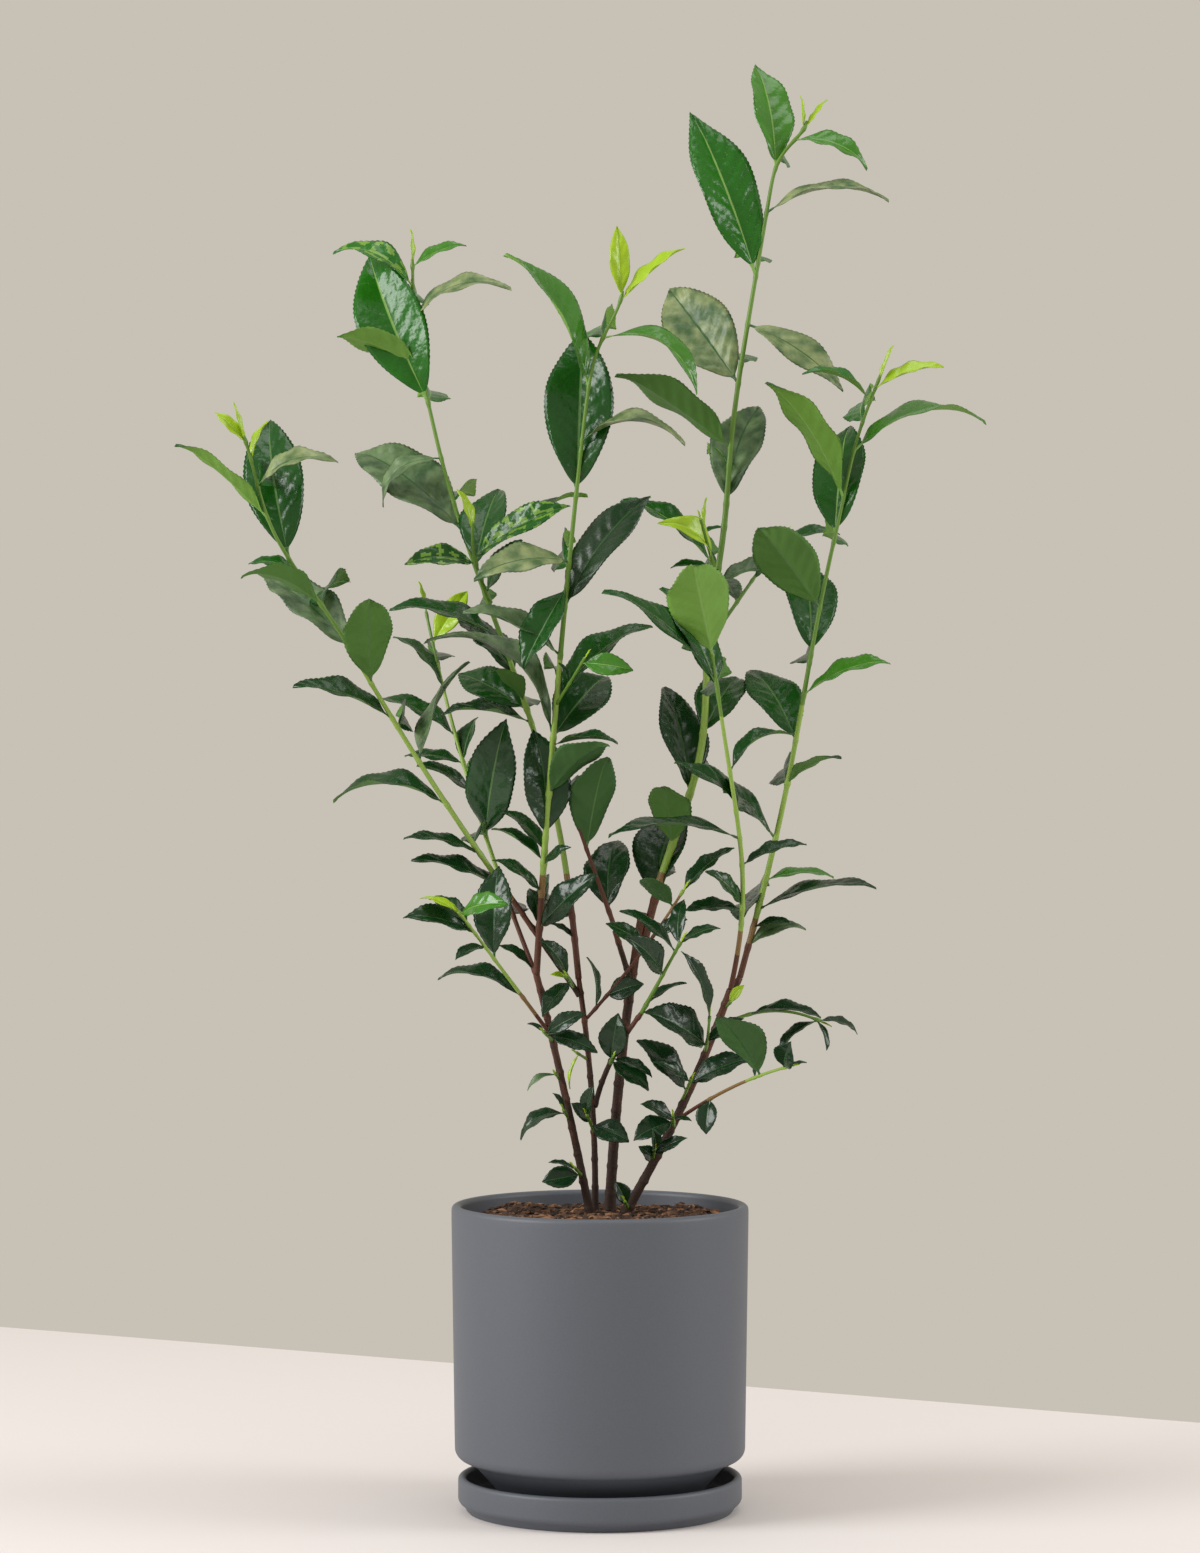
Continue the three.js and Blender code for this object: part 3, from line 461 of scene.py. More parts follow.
# A leaf's row: its height on its stem, the lean from upright to the right, how far it points away
# from the front, its length, and the share of its face that it turns to the front: above 0 its
# upper side, below 0 its underside. Two more values may set its arch and its width. Tints go by
# the leaf's place in this list. The radii are those at the foot and the tip, and bends are as
# BowedLine has them. A bare shoot has no bud, because a leaf of its list forms its tip.
SHOOTS = [
    {
        "name": "foliage_left_outer",
        "from": (-46, -3, 360), "to": (-209, -60, 646), "bow": (-11, 0, 0), "radii": (1.7, 0.9),
        "bends": [(0.8, 0.15, -10)],
        "leaves": [
            (371, -70, -15, 63, 0.3), (397, -76, -20, 50, 0.35), (427, -87, 10, 71, 0.35, 0.17),
            (453, 25, 25, 75, 0.3), (479, -71, -15, 64, 0.3), (500, 2, -45, 70, -0.95, 0.08, 0.44),
            (520, -51, 30, 82, 0.75), (547, -69, -30, 56, -0.6, 0.12), (563, -75, 10, 34, 0.5, 0.15),
            (574, -10, 25, 98, 1, 0.08, 0.38), (598, -49, -20, 72, -0.5, 0.03, 0.25),
            (616, 72, -10, 51, 0.6, 0.22), (632, 22, 10, 26, 0.5), (642, -45, 0, 26, 0.7, 0.08, 0.34),
        ],
        "tints": {3: "grey", 6: "grey", 11: "pale", 12: "young", 13: "young"},
    },
    {
        "name": "foliage_left_inner",
        "from": (-34, 0, 312), "to": (-109, 90, 547), "bow": (-6, 0, 0), "radii": (1.5, 0.9),
        "leaves": [
            (326, -55, 10, 28, 0.4), (407, 10, -20, 78, 0.9, 0.08, 0.44), (433, -60, -25, 42, 0.5),
            (452, -82, 20, 40, 0.5), (453, 16, 30, 34, 0.7, 0.08, 0.5), (469, -64, 20, 60, 0.4),
            (498, -43, 15, 48, 0.3, 0.12), (527, 33, 10, 40, 0.9, 0.05, 0.42),
        ],
        "tints": {7: "young"},
    },
    {
        "name": "foliage_left_tall",
        "from": (-13, 10, 321), "to": (-116, 60, 764), "bow": (-1, 0, 0), "sway": (10, 0, 0),
        "radii": (2, 0.9),
        "bends": [(0.89, 0.07, -3.5)],
        "leaves": [
            (345, -57, 0, 18, 0.4), (477, -83, -10, 56, 0.25), (485, -62, 40, 64, 0.9),
            (490, -43, -50, 42, -0.7), (504, -44, 30, 62, 0.6), (528, -73, 10, 74, 0.25),
            (595, -52, 30, 102, 0.8), (640, -128, 10, 48, 0.6, 0.28), (674, -22, 15, 107, 1),
            (694, -68, -20, 58, -0.75, 0.12), (727, 73, -15, 66, 0.5, 0.17),
            (747, -65, 10, 56, 0.6, 0.2), (760, 67, 0, 36, 0.6, 0.08, 0.36),
        ],
        "tints": {6: "grey", 7: "grey", 9: "light", 10: "pale", 11: "patched", 12: "bright"},
    },
    {
        "name": "foliage_left_spur",
        "from": (-67, 37, 551), "to": (-76, -25, 597), "bow": (-4, 0, 0), "radii": (1.2, 0.8),
        "leaves": [
            (556, 34, -30, 45, 0.6), (573, -90, -10, 44, 0.8, 0.15, 0.4),
            (573, 15, 40, 66, 0.9, 0.08, 0.48), (574, 55, 20, 86, 0.35, 0.06, 0.25),
            (577, 62, -15, 68, 0.65, 0.06, 0.34), (592, -20, 0, 27, 0.6),
        ],
        "tints": {1: "patched", 3: "dark", 4: "patched", 5: "young"},
    },
    {
        "name": "foliage_centre",
        "from": (-38.5, 0, 324), "to": (0, -40, 734), "bow": (-3.5, 0, 0), "radii": (2.1, 0.9),
        "bare": True,
        "bends": [(1, 0.07, 13.5)],
        "leaves": [
            (352, 46, -25, 54, 0.75, 0.08, 0.44), (353, -14, 30, 28, 0.7, 0.08, 0.6),
            (374, -54, -20, 38, 0.5), (391, 56, -40, 26, 0.6), (393, -57, 20, 40, 0.4),
            (399, -46, 25, 40, 0.5), (407, -6, 5, 67, 0.95, 0.08, 0.46),
            (434, 50, -40, 62, -0.7, 0.08, 0.44), (463, 87, -20, 42, 0.2),
            (467, -51, 10, 100, 0.25, 0.24), (468, 40, 40, 66, 0.95, 0.08, 0.5), (490, 50, 15, 77, 0.55),
            (517, -64, -10, 65, 0.4), (546, 37, 10, 87, 0.65), (558, -152, -15, 58, 0.85, 0.06, 0.44),
            (573, -100, -15, 60, 0.7, 0.15), (612, 2, 15, 106, 1), (645, 92, -10, 63, 0.35, 0.22),
            (677, -30, 5, 96, 0.4), (706, 121, -10, 67, 0.4, 0.24), (728, 49, 0, 50, 0.5, 0.04, 0.3),
            (731, -3, 5, 44, 0.95, 0.03, 0.29),
        ],
        "tints": {
            9: "grey", 12: "grey", 13: "dark", 15: "pale", 17: "pale", 18: "bright", 19: "bright",
            20: "young", 21: "young",
        },
    },
    {
        "name": "foliage_centre_low",
        "from": (10, 17, 349), "to": (-17, -2, 425), "radii": (1.6, 0.9),
        "leaves": [
            (362, 6, 40, 58, 0.9, 0.08, 0.52), (400, 12, -30, 68, -0.9, 0.08, 0.44),
            (415, 40, 40, 40, 0.5),
        ],
    },
    {
        "name": "foliage_right_tall",
        "from": (26, 20, 343), "to": (113.5, 75, 852), "radii": (2.6, 1),
        "bends": [(0.23, 0.14, 15.5), (0.48, 0.12, 6.5), (1, 0.035, 15.5)],
        "leaves": [
            (360, 17, 35, 74, 0.85, 0.08, 0.5), (402, -9, -45, 54, -0.95, 0.08, 0.52),
            (433, -12, 30, 80, 0.8, 0.08, 0.44), (470, 32, 45, 60, 0.9, 0.08, 0.52),
            (563, 76, 10, 47, 0.5), (598, -110, 0, 17, 0.4), (612, 19, 35, 84, 0.9),
            (647, -57, -15, 87, -0.45, 0.04), (687, -34, 30, 89, 1, 0.06, 0.48),
            (724, 125, -5, 73, 0.8, 0.1, 0.36), (754, -20.5, 10, 115, 0.9, 0.05, 0.37),
            (794, 85, -10, 77, 0.35, 0.15), (822, -9, 25, 79, 0.9, 0.06, 0.36),
            (840, 110, 0, 49, 0.6, 0.14), (848, -3, 0, 21, 0.4, 0, 0.22),
        ],
        "tints": {
            4: "grey", 6: "grey", 8: "pale", 9: "pale", 11: "pale", 12: "bright", 13: "bright",
            14: "young",
        },
    },
    {
        "name": "foliage_right_spur_front",
        "from": (72, 43.5, 566), "to": (61, 2, 600), "radii": (1.2, 0.8),
        "leaves": [
            (570, -84, -10, 28, 0.4), (574, -53, 5, 70, 0.35), (576, -55, -30, 46, 0.6, 0.2),
            (594, 4, 0, 20, 0.4, 0, 0.22),
        ],
        "tints": {2: "young", 3: "young"},
    },
    {
        "name": "foliage_right_spur_back",
        "from": (66.5, 40, 526), "to": (117, 110, 597), "radii": (1.3, 0.8),
        "leaves": [
            (552, -40, 60, 50, 0.5), (566, 60, 20, 46, 0.5), (580, 20, 70, 52, 0.5),
            (590, 80, -10, 40, 0.5),
        ],
    },
    {
        "name": "foliage_right_inner",
        "from": (79, 0, 315), "to": (66, -60, 518), "bow": (10, 0, 0), "sway": (2.5, 0, 0),
        "radii": (1.6, 1),
        "leaves": [
            (364, -90, -10, 36, 0.5), (366, -44, -30, 36, 0.6), (391, 72, 10, 42, 0.3),
            (407, -88, -15, 82, 0.25, 0.1), (447, 60, 20, 48, 0.3, 0.2),
            (495, -27, 15, 74, 0.65, 0.08, 0.42), (500, -50, -10, 88, 0.4),
            (516, -14, -50, 83, -1, 0.06, 0.46),
        ],
        "tints": {7: "light"},
    },
    {
        "name": "foliage_right_outer",
        "from": (85, 7, 322), "to": (173, 30, 690), "bow": (-2.5, 0, 0), "sway": (3.5, 0, 0),
        "radii": (1.9, 0.9),
        "bends": [(0.9, 0.1, -3)],
        "leaves": [
            (340, 72, 10, 38, 0.6, 0.2), (352, 78, -30, 26, 0.4), (363, 77, -10, 74, 0.2),
            (381, 87, 15, 44, 0.2), (406, -52, -5, 78, 0.4), (440, 62, -40, 46, -0.4),
            (466, -30, 45, 74, 0.85, 0.08, 0.46), (494, 68, -15, 57, 0.3),
            (518, -4, 40, 80, 0.95, 0.08, 0.42), (547, -40, -40, 80, -0.9, 0.08, 0.46),
            (590, 8, 30, 86, 0.9, 0.08, 0.42), (614, -34, -15, 88, -0.4),
            (643, 75, 10, 86, 0.35, 0.17), (674, -68, -10, 46, 0.3, 0.15), (682, 72, 0, 44, 0.35),
        ],
        "tints": {0: "grey", 3: "bright", 7: "bright", 12: "bright", 14: "young"},
    },
    {
        "name": "sprig_left",
        "from": (-31, 1.5, 289), "to": (-84, -60, 365), "radii": (1.3, 0.8),
        "leaves": [
            (311, -76, 10, 54, 0.35, 0.15), (335, 2, 15, 58, 0.9, 0.08, 0.44),
            (343, -110, -50, 28, 0.6), (351, -75, -20, 46, 0.6, 0.08, 0.45), (356, -57, 35, 36, 0.6),
            (363, 76, -40, 38, 0.7, 0.1, 0.46), (362, -65, 0, 27, 0.4),
        ],
        "tints": {5: "bright", 6: "young"},
    },
    {
        "name": "sprig_right_front",
        "from": (46, 4, 235), "to": (112, -75, 274), "bow": (0, 0, 4), "radii": (1.2, 0.8),
        "leaves": [
            (247, -172, -20, 22, 0.95, 0.06, 0.62), (262, 22, 0, 18, 0.5),
            (264, -35, -35, 56, -0.8, 0.06, 0.52), (272, 10, -50, 26, 0.8, 0.06, 0.6),
            (273, 75, -10, 12, 0.4),
        ],
    },
    {
        "name": "sprig_right_back",
        "from": (72, 3, 292), "to": (134, 14, 295), "bow": (0, 0, 8), "radii": (1.1, 0.8),
        "leaves": [
            (292.9, 92, -5, 44, 0.25, 0.1), (294.9, 160, -15, 20, 0.4),
            (294.95, -128, -10, 32, 0.35, 0.1), (294.97, 108, 10, 26, 0.3, 0.15),
        ],
    },
    {
        "name": "sprig_front",
        "from": (25, -20, 302), "to": (48, -50, 346), "radii": (1.4, 0.8),
        "leaves": [
            (307, 60, 0, 28, 0.4), (326, -42, -45, 46, 0.8), (340, -52, 10, 42, 0.3),
            (344, 6, 30, 32, 0.8), (345, 68, 0, 26, 0.5),
        ],
    },
    {
        "name": "sprig_centre",
        "from": (-8, 11, 297), "to": (50, -25, 376), "bow": (3, 0, 0), "radii": (1.1, 0.8),
        "leaves": [
            (303, -8, 0, 32, 0.3), (311, 70, -20, 25, 0.9, 0.08, 0.6), (342, -60, -20, 30, 0.8),
            (348, 60, -30, 26, 0.8), (366, -48, -45, 38, -0.8), (374, 49, 15, 44, 0.5),
        ],
    },
    {
        "name": "sprig_centre_high",
        "from": (-26, -17, 488), "to": (-9, -48, 515), "radii": (1, 0.7),
        "leaves": [(500, -25, -10, 14, 0.6), (512, 98, -15, 32, 0.95, 0.08, 0.45)],
        "tints": {1: "bright"},
    },
    {
        "name": "sprig_cane_right_low",
        "from": (32, 6, 212), "to": (33, -14, 220), "radii": (1, 0.7),
        "leaves": [(213, -45, -60, 24, 0.9), (216, 62, -20, 24, 0.8), (219, -5, -50, 22, 0.8)],
    },
    {
        "name": "sprig_cane_right_fork",
        "from": (45, 5, 231), "to": (44, -12, 240), "radii": (1, 0.7),
        "leaves": [
            (235, -112, -20, 28, 0.85, 0.08, 0.6), (236, -60, -20, 24, 0.7, 0.08, 0.5),
            (238, 97, -20, 12, 0.6),
        ],
    },
    {
        "name": "sprig_cane_right_middle",
        "from": (50, 4, 248), "to": (55, -18, 262), "radii": (1, 0.7),
        "leaves": [
            (254, -43, -10, 44, 0.6, 0.1, 0.5), (258, 66, -10, 42, 0.6, 0.08, 0.5),
            (260, -57, -30, 30, 0.6),
        ],
    },
    {
        "name": "sprig_cane_right_high",
        "from": (64, 2.5, 277), "to": (66, -18, 300), "bow": (0, -8, 0), "radii": (1, 0.7),
        "leaves": [
            (281, -58, -35, 54, 0.75, 0.1, 0.5), (284, 55, -20, 28, 0.7),
            (298, -21, -20, 48, 0.45, 0.08, 0.3),
        ],
    },
    {
        "name": "sprig_cane_right_top",
        "from": (76, 1, 304), "to": (79, -8, 308), "radii": (1, 0.7),
        "leaves": [(307, 38, -15, 15, 0.8, 0.1, 0.45)],
        "tints": {0: "young"},
    },
    {
        "name": "sprig_cane_left_low",
        "from": (-10.5, 5, 201), "to": (-15.5, -8, 208), "radii": (1, 0.7),
        "leaves": [(203, -100, -10, 24, 0.9, 0.05, 0.62), (206, -72, -20, 19, 0.3)],
    },
    {
        "name": "sprig_cane_left_middle",
        "from": (-19, 4, 236), "to": (-22, -9, 243), "radii": (1, 0.7),
        "leaves": [(240, -118, -10, 32, 0.6, 0.25, 0.45), (242, -30, -20, 14, 0.6)],
    },
    {
        "name": "sprig_cane_left_upper",
        "from": (-25, 2, 261), "to": (-27, -10, 265), "radii": (1, 0.7),
        "leaves": [(264, -118, -5, 20, 0.5, 0.2, 0.3)],
        "tints": {0: "grey"},
    },
    {
        "name": "sprig_cane_left_high",
        "from": (-29, 1, 284), "to": (-34, -20, 291), "radii": (1, 0.7),
        "leaves": [(289, 60, -20, 29, 0.9), (288, 107, -20, 34, 0.75), (290, -60, -10, 12, 0.6)],
    },
    {
        "name": "sprig_bough_left",
        "from": (-16, 8, 316), "to": (-20, -10, 324), "radii": (1, 0.7),
        "leaves": [
            (320, -140, -35, 32, 0.7, 0.08, 0.45), (323, -35, -20, 30, 0.7, 0.08, 0.5),
            (322, -75, -20, 12, 0.6),
        ],
        "tints": {2: "young"},
    },
    {
        "name": "sprig_bough_front",
        "from": (6, -2, 270), "to": (8, -16, 276), "radii": (1, 0.7),
        "leaves": [
            (272, 8, -10, 30, 0.95, 0.08, 0.6), (274, 112, -20, 28, 0.5),
            (272, 125, -20, 30, 0.85, 0.08, 0.5),
        ],
    },
    {
        "name": "sprig_cane_thin",
        "from": (-3, 15, 226), "to": (-8, -8, 240), "radii": (1, 0.7),
        "leaves": [
            (232, 110, -30, 28, 0.8, 0.1, 0.6), (234, -42, -20, 18, 0.7, 0.08, 0.6),
            (239, 10, -30, 22, 0.7, 0.08, 0.5),
        ],
    },
    {
        "name": "sprig_cane_thin_high",
        "from": (-8, 12, 272), "to": (-14, -4, 277), "radii": (1, 0.7),
        "leaves": [(276, -165, -5, 22, 0.4, 0.1, 0.2)],
        "tints": {0: "young"},
    },
    {
        "name": "sprig_foot",
        "from": (17, 5.5, 182), "to": (15, -4, 187), "radii": (1, 0.7),
        "leaves": [(184, -25, -15, 17, 0.8, 0.05, 0.65)],
    },
]

# Painted shade and light: leaves low on the bush take darker tones, and leaves higher up brighter ones.
SHADED, SUNLIT = 230, 760  # heights between which the leaves brighten
LIGHT_SPREAD = 0.3  # leaves at one height differ by up to this share of the whole range
LOW_RIBS, HIGH_RIBS = 0.3, 0.7  # light from which midribs take the next brighter tone
# Tones of the upper side, the underside and the midrib of a leaf with a tint; None keeps the usual one.
TINTED = {
    "young": ("leaf_young", "leaf_young", "midrib_young"),
    "bright": ("leaf_bright", "leaf_light_under", "midrib_high"),
    "dark": ("leaf_dull", None, "midrib_dark"),
    # Grey and pale leaves carry painted sheen on both sides.
    "grey": ("leaf_grey_painted_sheen", "leaf_grey_painted_sheen", "midrib_dark"),
    "pale": ("leaf_pale_painted_sheen", "leaf_pale_painted_sheen", "midrib_dark"),
    "light": (None, "leaf_light_under", "midrib_high"),
}


def leaf_slots(root, tint, seed, k):
    """Slots of the upper side, the underside and the midrib: painted shade low on the bush, painted light
    higher up.
    """
    # light is the share of painted light that the leaf's tones stand for.
    light = (root[2] - SHADED) / (SUNLIT - SHADED) + LIGHT_SPREAD * (draw(seed, 60 + k) - 0.5)
    light = min(max(light, 0), 0.999)
    rib = "midrib_high" if light > HIGH_RIBS else "midrib_low" if light > LOW_RIBS else "midrib_dark"
    slots = (int(light * len(LEAF_TOPS)), UNDER + int(light * len(UNDERSIDES)), SLOT[rib])
    named = TINTED.get(tint, (None, None, None))
    return tuple(slot if name is None else SLOT[name] for slot, name in zip(slots, named))


# Each group of shoots becomes one piece of leaves and one piece of stems.
GROUPS = {
    "left": [
        "foliage_left_outer", "foliage_left_inner", "sprig_left", "sprig_cane_left_low",
        "sprig_cane_left_middle", "sprig_cane_left_upper", "sprig_cane_left_high", "sprig_bough_left",
    ],
    "left_tall": ["foliage_left_tall", "foliage_left_spur", "sprig_cane_thin", "sprig_cane_thin_high"],
    "centre": [
        "foliage_centre", "foliage_centre_low", "sprig_front", "sprig_centre", "sprig_centre_high",
        "sprig_bough_front", "sprig_foot",
    ],
    "right_tall": [
        "foliage_right_tall", "foliage_right_spur_front", "foliage_right_spur_back", "foliage_right_inner",
    ],
    "right": [
        "foliage_right_outer", "sprig_right_front", "sprig_right_back", "sprig_cane_right_low",
        "sprig_cane_right_fork", "sprig_cane_right_middle", "sprig_cane_right_high",
        "sprig_cane_right_top",
    ],
}

# Height above which a named stem is green. Other long ones turn green at the usual height, and
# other short ones are green all along.
GREEN_FROM = {
    "sprig_left": 315, "sprig_centre": 372, "sprig_right_front": 262, "foliage_centre_low": 430,
    "foliage_right_outer": 356, "foliage_right_inner": 350,
}
USUAL_GREEN_FROM = 384
TAN_REACH = 14  # height of the tan stretch below the green
BRIGHT_REACH = 130  # height of the bright stretch where the green starts
NODE_SWELL, NODE_REACH = 0.3, 1.8
STEM_UNEVEN = 0.03  # share of the radius
STEM_STEP = 1.4
STEM_SIDES = 12
LOWEST_LEAF, HIGHEST_LEAF = 0.05, 0.99  # places along the stem
LEAF_SEEDS = 40  # seeds kept for the leaves of one shoot


def stem_tone(name, rise, height):
    green_from = GREEN_FROM.get(name, USUAL_GREEN_FROM if rise > LONG_SHOOT else 0)
    above = height - green_from
    green = np.where(above < BRIGHT_REACH, BRIGHT_GREEN, GREEN)
    return np.where(above < -TAN_REACH, RED_BARK, np.where(above < 0, TAN, green))


def grow_shoot(shoot, seed, leaves_skin, stems_skin):
    bent = {key: shoot[key] for key in ("bow", "sway", "bends") if key in shoot}
    line = BowedLine(shoot["from"], shoot["to"], **bent)
    rise = line.end[2] - line.start[2]
    tints = shoot.get("tints", {})
    leaves = [(leaf_of(row), tints.get(k)) for k, row in enumerate(shoot["leaves"])]
    leaves += [(leaf, None) for leaf in back_leaves(shoot, seed)]
    if not shoot.get("bare"):
        leaves.append((bud_of(shoot, line), "young"))
    places = [(leaf["height"] - line.start[2]) / rise for leaf, _ in leaves]
    places = [min(max(place, LOWEST_LEAF), HIGHEST_LEAF) for place in places]
    length = line.length()

    def radius_at(t, angle):
        taper = shoot["radii"][0] + (shoot["radii"][1] - shoot["radii"][0]) * t
        nodes = sum(NODE_SWELL * bell((t - place) * length, NODE_REACH) for place in places)
        return taper * (1 + STEM_UNEVEN * np.sin(3 * angle + 5 * t)) + np.minimum(nodes, 2 * NODE_SWELL)

    steps = max(12, int(length / STEM_STEP))
    rings = tube_rings(line, radius_at, STEM_SIDES, steps)
    tone = stem_tone(shoot["name"], rise, rings[:-1, 0, 2])
    stems_skin.add_rings(rings, np.repeat(tone[:, None], STEM_SIDES, axis=1))
    for k, ((leaf, tint), place) in enumerate(zip(leaves, places)):
        root = line.at(place)
        add_leaf(leaves_skin, root, leaf, seed * LEAF_SEEDS + k, leaf_slots(root, tint, seed, k), tint)


for group, names in GROUPS.items():
    leaves_skin, stems_skin = Skin(), Skin()
    for k, shoot in enumerate(SHOOTS):
        if shoot["name"] in names:
            grow_shoot(shoot, k + 1, leaves_skin, stems_skin)
    leaves_skin.piece(f"leaves_{group}", leaf_materials, "foliage", names)
    stems_skin.piece(f"stems_{group}", stem_materials, "foliage")

# ---------------------------------------------------------------- canes and boughs
FOOT = node_box("cane_left")[0][2]  # the canes stand on the soil at this height
# Name, start, end, bow, radii at both ends, and how far the foot flares.
LIMBS = [
    ("cane_left", (-6, 5, FOOT), (-38.5, 0, 324), (1, 0, 0), (2.4, 2), 0.7),
    ("cane_thin", (-3, 16, FOOT), (-13, 10, 321), (3, 0, 0), (1.9, 1.6), 0.5),
    ("cane_middle", (6, 26, FOOT), (26, 20, 361), (-3, 0, 0), (3.2, 2.6), 0.9),
    ("cane_right", (15, 8, FOOT), (79, 0, 315), (4, 0, 0), (2.8, 2.2), 0.8),
    ("bough_left", (-12.5, 10, 311), (-47, -3, 361), (0, 0, 0), (1.8, 1.6), 0),
    ("bough_centre", (20, 20, 315), (9, 16, 350), (0, 0, 0), (1.8, 1.6), 0),
    ("bough_right", (72, 2, 298), (85, 7, 322), (0, 0, 0), (2, 1.9), 0),
    ("bough_front", (-3, 14, 243), (25, -20, 302), (-4, 0, 0), (1.7, 1.4), 0),
]
LIMB_SIDES = 24
LIMB_STEP = 0.8
FLARE_REACH = 9
CRACKS, BUMPS = 0.035, 0.03  # shares of the radius
NODE_SPACING, RING_REACH = 17, 1.3
RING, KNOT = 0.15, 0.4  # how far a node stands out all around, and on one side besides
BROWN_FROM, RED_FROM, MOTTLE = 0.35, 0.75, 0.16  # shares of the limb's length


def add_limb(name, start, end, bow, radii, flare, seed):
    line = BowedLine(start, end, bow)
    length = line.length()
    steps = int(length / LIMB_STEP)

    def radius_at(t, angle):
        run = t * length
        radius = radii[0] + (radii[1] - radii[0]) * t + flare * np.exp(-run / FLARE_REACH)
        cracks = np.sin(5 * angle + 1.2 * np.sin(run * 0.35 + seed)) * np.sin(9 * angle - run * 0.5)
        bumps = np.sin(run * 1.7 + 2 * angle + seed) * np.sin(3 * angle - run * 0.9)
        ring = bell(((run + 5 * seed) % NODE_SPACING) - NODE_SPACING / 2, RING_REACH)
        knot = ring * (0.5 + 0.5 * np.cos(angle - seed - run * 0.4))
        return radius * (1 + CRACKS * cracks + BUMPS * bumps) + KNOT * knot + RING * ring

    rings = tube_rings(line, radius_at, LIMB_SIDES, steps, flat_foot=bool(flare))
    row, column = np.meshgrid(np.arange(steps - 1), np.arange(LIMB_SIDES), indexing="ij")
    mottle = np.sin(row * 0.21 + seed) + np.sin(column * 0.8 + row * 0.13)
    mottle = mottle + np.sin(row * 0.05 - column * 0.5)
    share = row / steps + MOTTLE * mottle
    tone = np.where(share > RED_FROM, RED_BARK, np.where(share > BROWN_FROM, BROWN_BARK, OLD_BARK))
    skin = Skin()
    skin.add_rings(rings, tone)
    skin.piece(f"{name}_bark", stem_materials, "bark", [name])


for k, limb in enumerate(LIMBS):
    add_limb(*limb, seed=k + 1)


# ---------------------------------------------------------------- pot, saucer and soil
TURNS = 160


def arc(r, z, radius, start, end, points=9):
    """Points of an outline around (r, z), from one angle in degrees to another."""
    angles = np.radians(np.linspace(start, end, points))
    return [(r + radius * math.cos(a), z + radius * math.sin(a)) for a in angles]


def turned(name, profile, material, slot, replaces):
    """Turns an outline, given from the bottom of the axis outwards and up, about Z."""
    r, z = np.array(profile[1:-1]).T
    angle = np.arange(TURNS) / TURNS * TAU
    x, y, z = np.outer(r, np.cos(angle)), np.outer(r, np.sin(angle)), np.outer(z, np.ones(TURNS))
    rings = np.stack([x, y, z], -1)
    skin = Skin()
    skin.add_rings(rings, np.zeros((len(r) - 1, TURNS), int))
    return skin.piece(name, [material], slot, replaces)


glaze = grainy(
    "matt_ceramic", srgb(84, 89, 98), srgb(89, 94, 103), roughness=0.5, scale=1400, bump=0.12, spread=0.3
)
pot_low, pot_high = node_box("pot")
saucer_high = node_box("saucer")[1]
POT_R, POT_TOP, POT_FOOT = pot_high[0], pot_high[2], pot_low[2]
POT_WALL, POT_EDGE = 6, 7
POT_BOTTOM_R = POT_R - 2
POT_FOOT_R, POT_FOOT_TOP_R = 57, 79
POT_BODY_BOTTOM = 31
POT_FLOOR_TOP = POT_BODY_BOTTOM + 8
SAUCER_R, SAUCER_H = saucer_high[0], saucer_high[2]
SAUCER_WALL, SAUCER_FLOOR = 5, 6
SAUCER_INNER_R = SAUCER_R - SAUCER_WALL
turned(
    "pot_body",
    [
        (0, POT_FOOT), (POT_FOOT_R - 1, POT_FOOT), (POT_FOOT_R + 0.8, POT_FOOT + 0.9),
        (POT_FOOT_TOP_R - 1, POT_BODY_BOTTOM - 1), (POT_FOOT_TOP_R + 0.2, POT_BODY_BOTTOM),
        *arc(POT_BOTTOM_R - POT_EDGE, POT_BODY_BOTTOM + POT_EDGE, POT_EDGE, -90, 0),
        (POT_R, POT_TOP - 8),
        *arc(POT_R - POT_WALL / 2, POT_TOP - POT_WALL / 2, POT_WALL / 2, 0, 180, 13),
        (POT_R - POT_WALL, 60), (POT_BOTTOM_R - POT_WALL, POT_FLOOR_TOP), (0, POT_FLOOR_TOP),
    ],
    glaze, "ceramic", ["pot"],
)
turned(
    "saucer_dish",
    [
        (0, 0), (SAUCER_R - 5.5, 0), (SAUCER_R - 5, 0.6), (SAUCER_R - 3.5, 3.2),
        *arc(SAUCER_R - 4, 8, 4, -60, 0), (SAUCER_R, 15),
        *arc(SAUCER_R - SAUCER_WALL / 2, SAUCER_H - SAUCER_WALL / 2, SAUCER_WALL / 2, 0, 180, 13),
        (SAUCER_INNER_R, 10), (SAUCER_INNER_R - 2, 6.5), (SAUCER_INNER_R - 4, SAUCER_FLOOR),
        (0, SAUCER_FLOOR),
    ],
    glaze, "ceramic", ["saucer"],
)

SOIL_DOME = node_box("soil")[1][2]
SOIL_EDGE = POT_R - POT_WALL - 1.2
SOIL_SKIRT = 150  # how far down its sides reach
SOIL_RINGS, SOIL_TURNS = 70, 200
CRUMBS, CRUMB_REACH = 3600, 81
SOIL_TONES = [srgb(80, 56, 42), srgb(118, 84, 60), srgb(152, 110, 80), srgb(50, 36, 28)]
SOIL_SHADE = 0.6  # each tone drifts to this share of itself
soil_materials = [
    grainy(f"soil_{k}", c, tuple(SOIL_SHADE * x for x in c), roughness=0.95, scale=500, bump=0.8)
    for k, c in enumerate(SOIL_TONES)
]


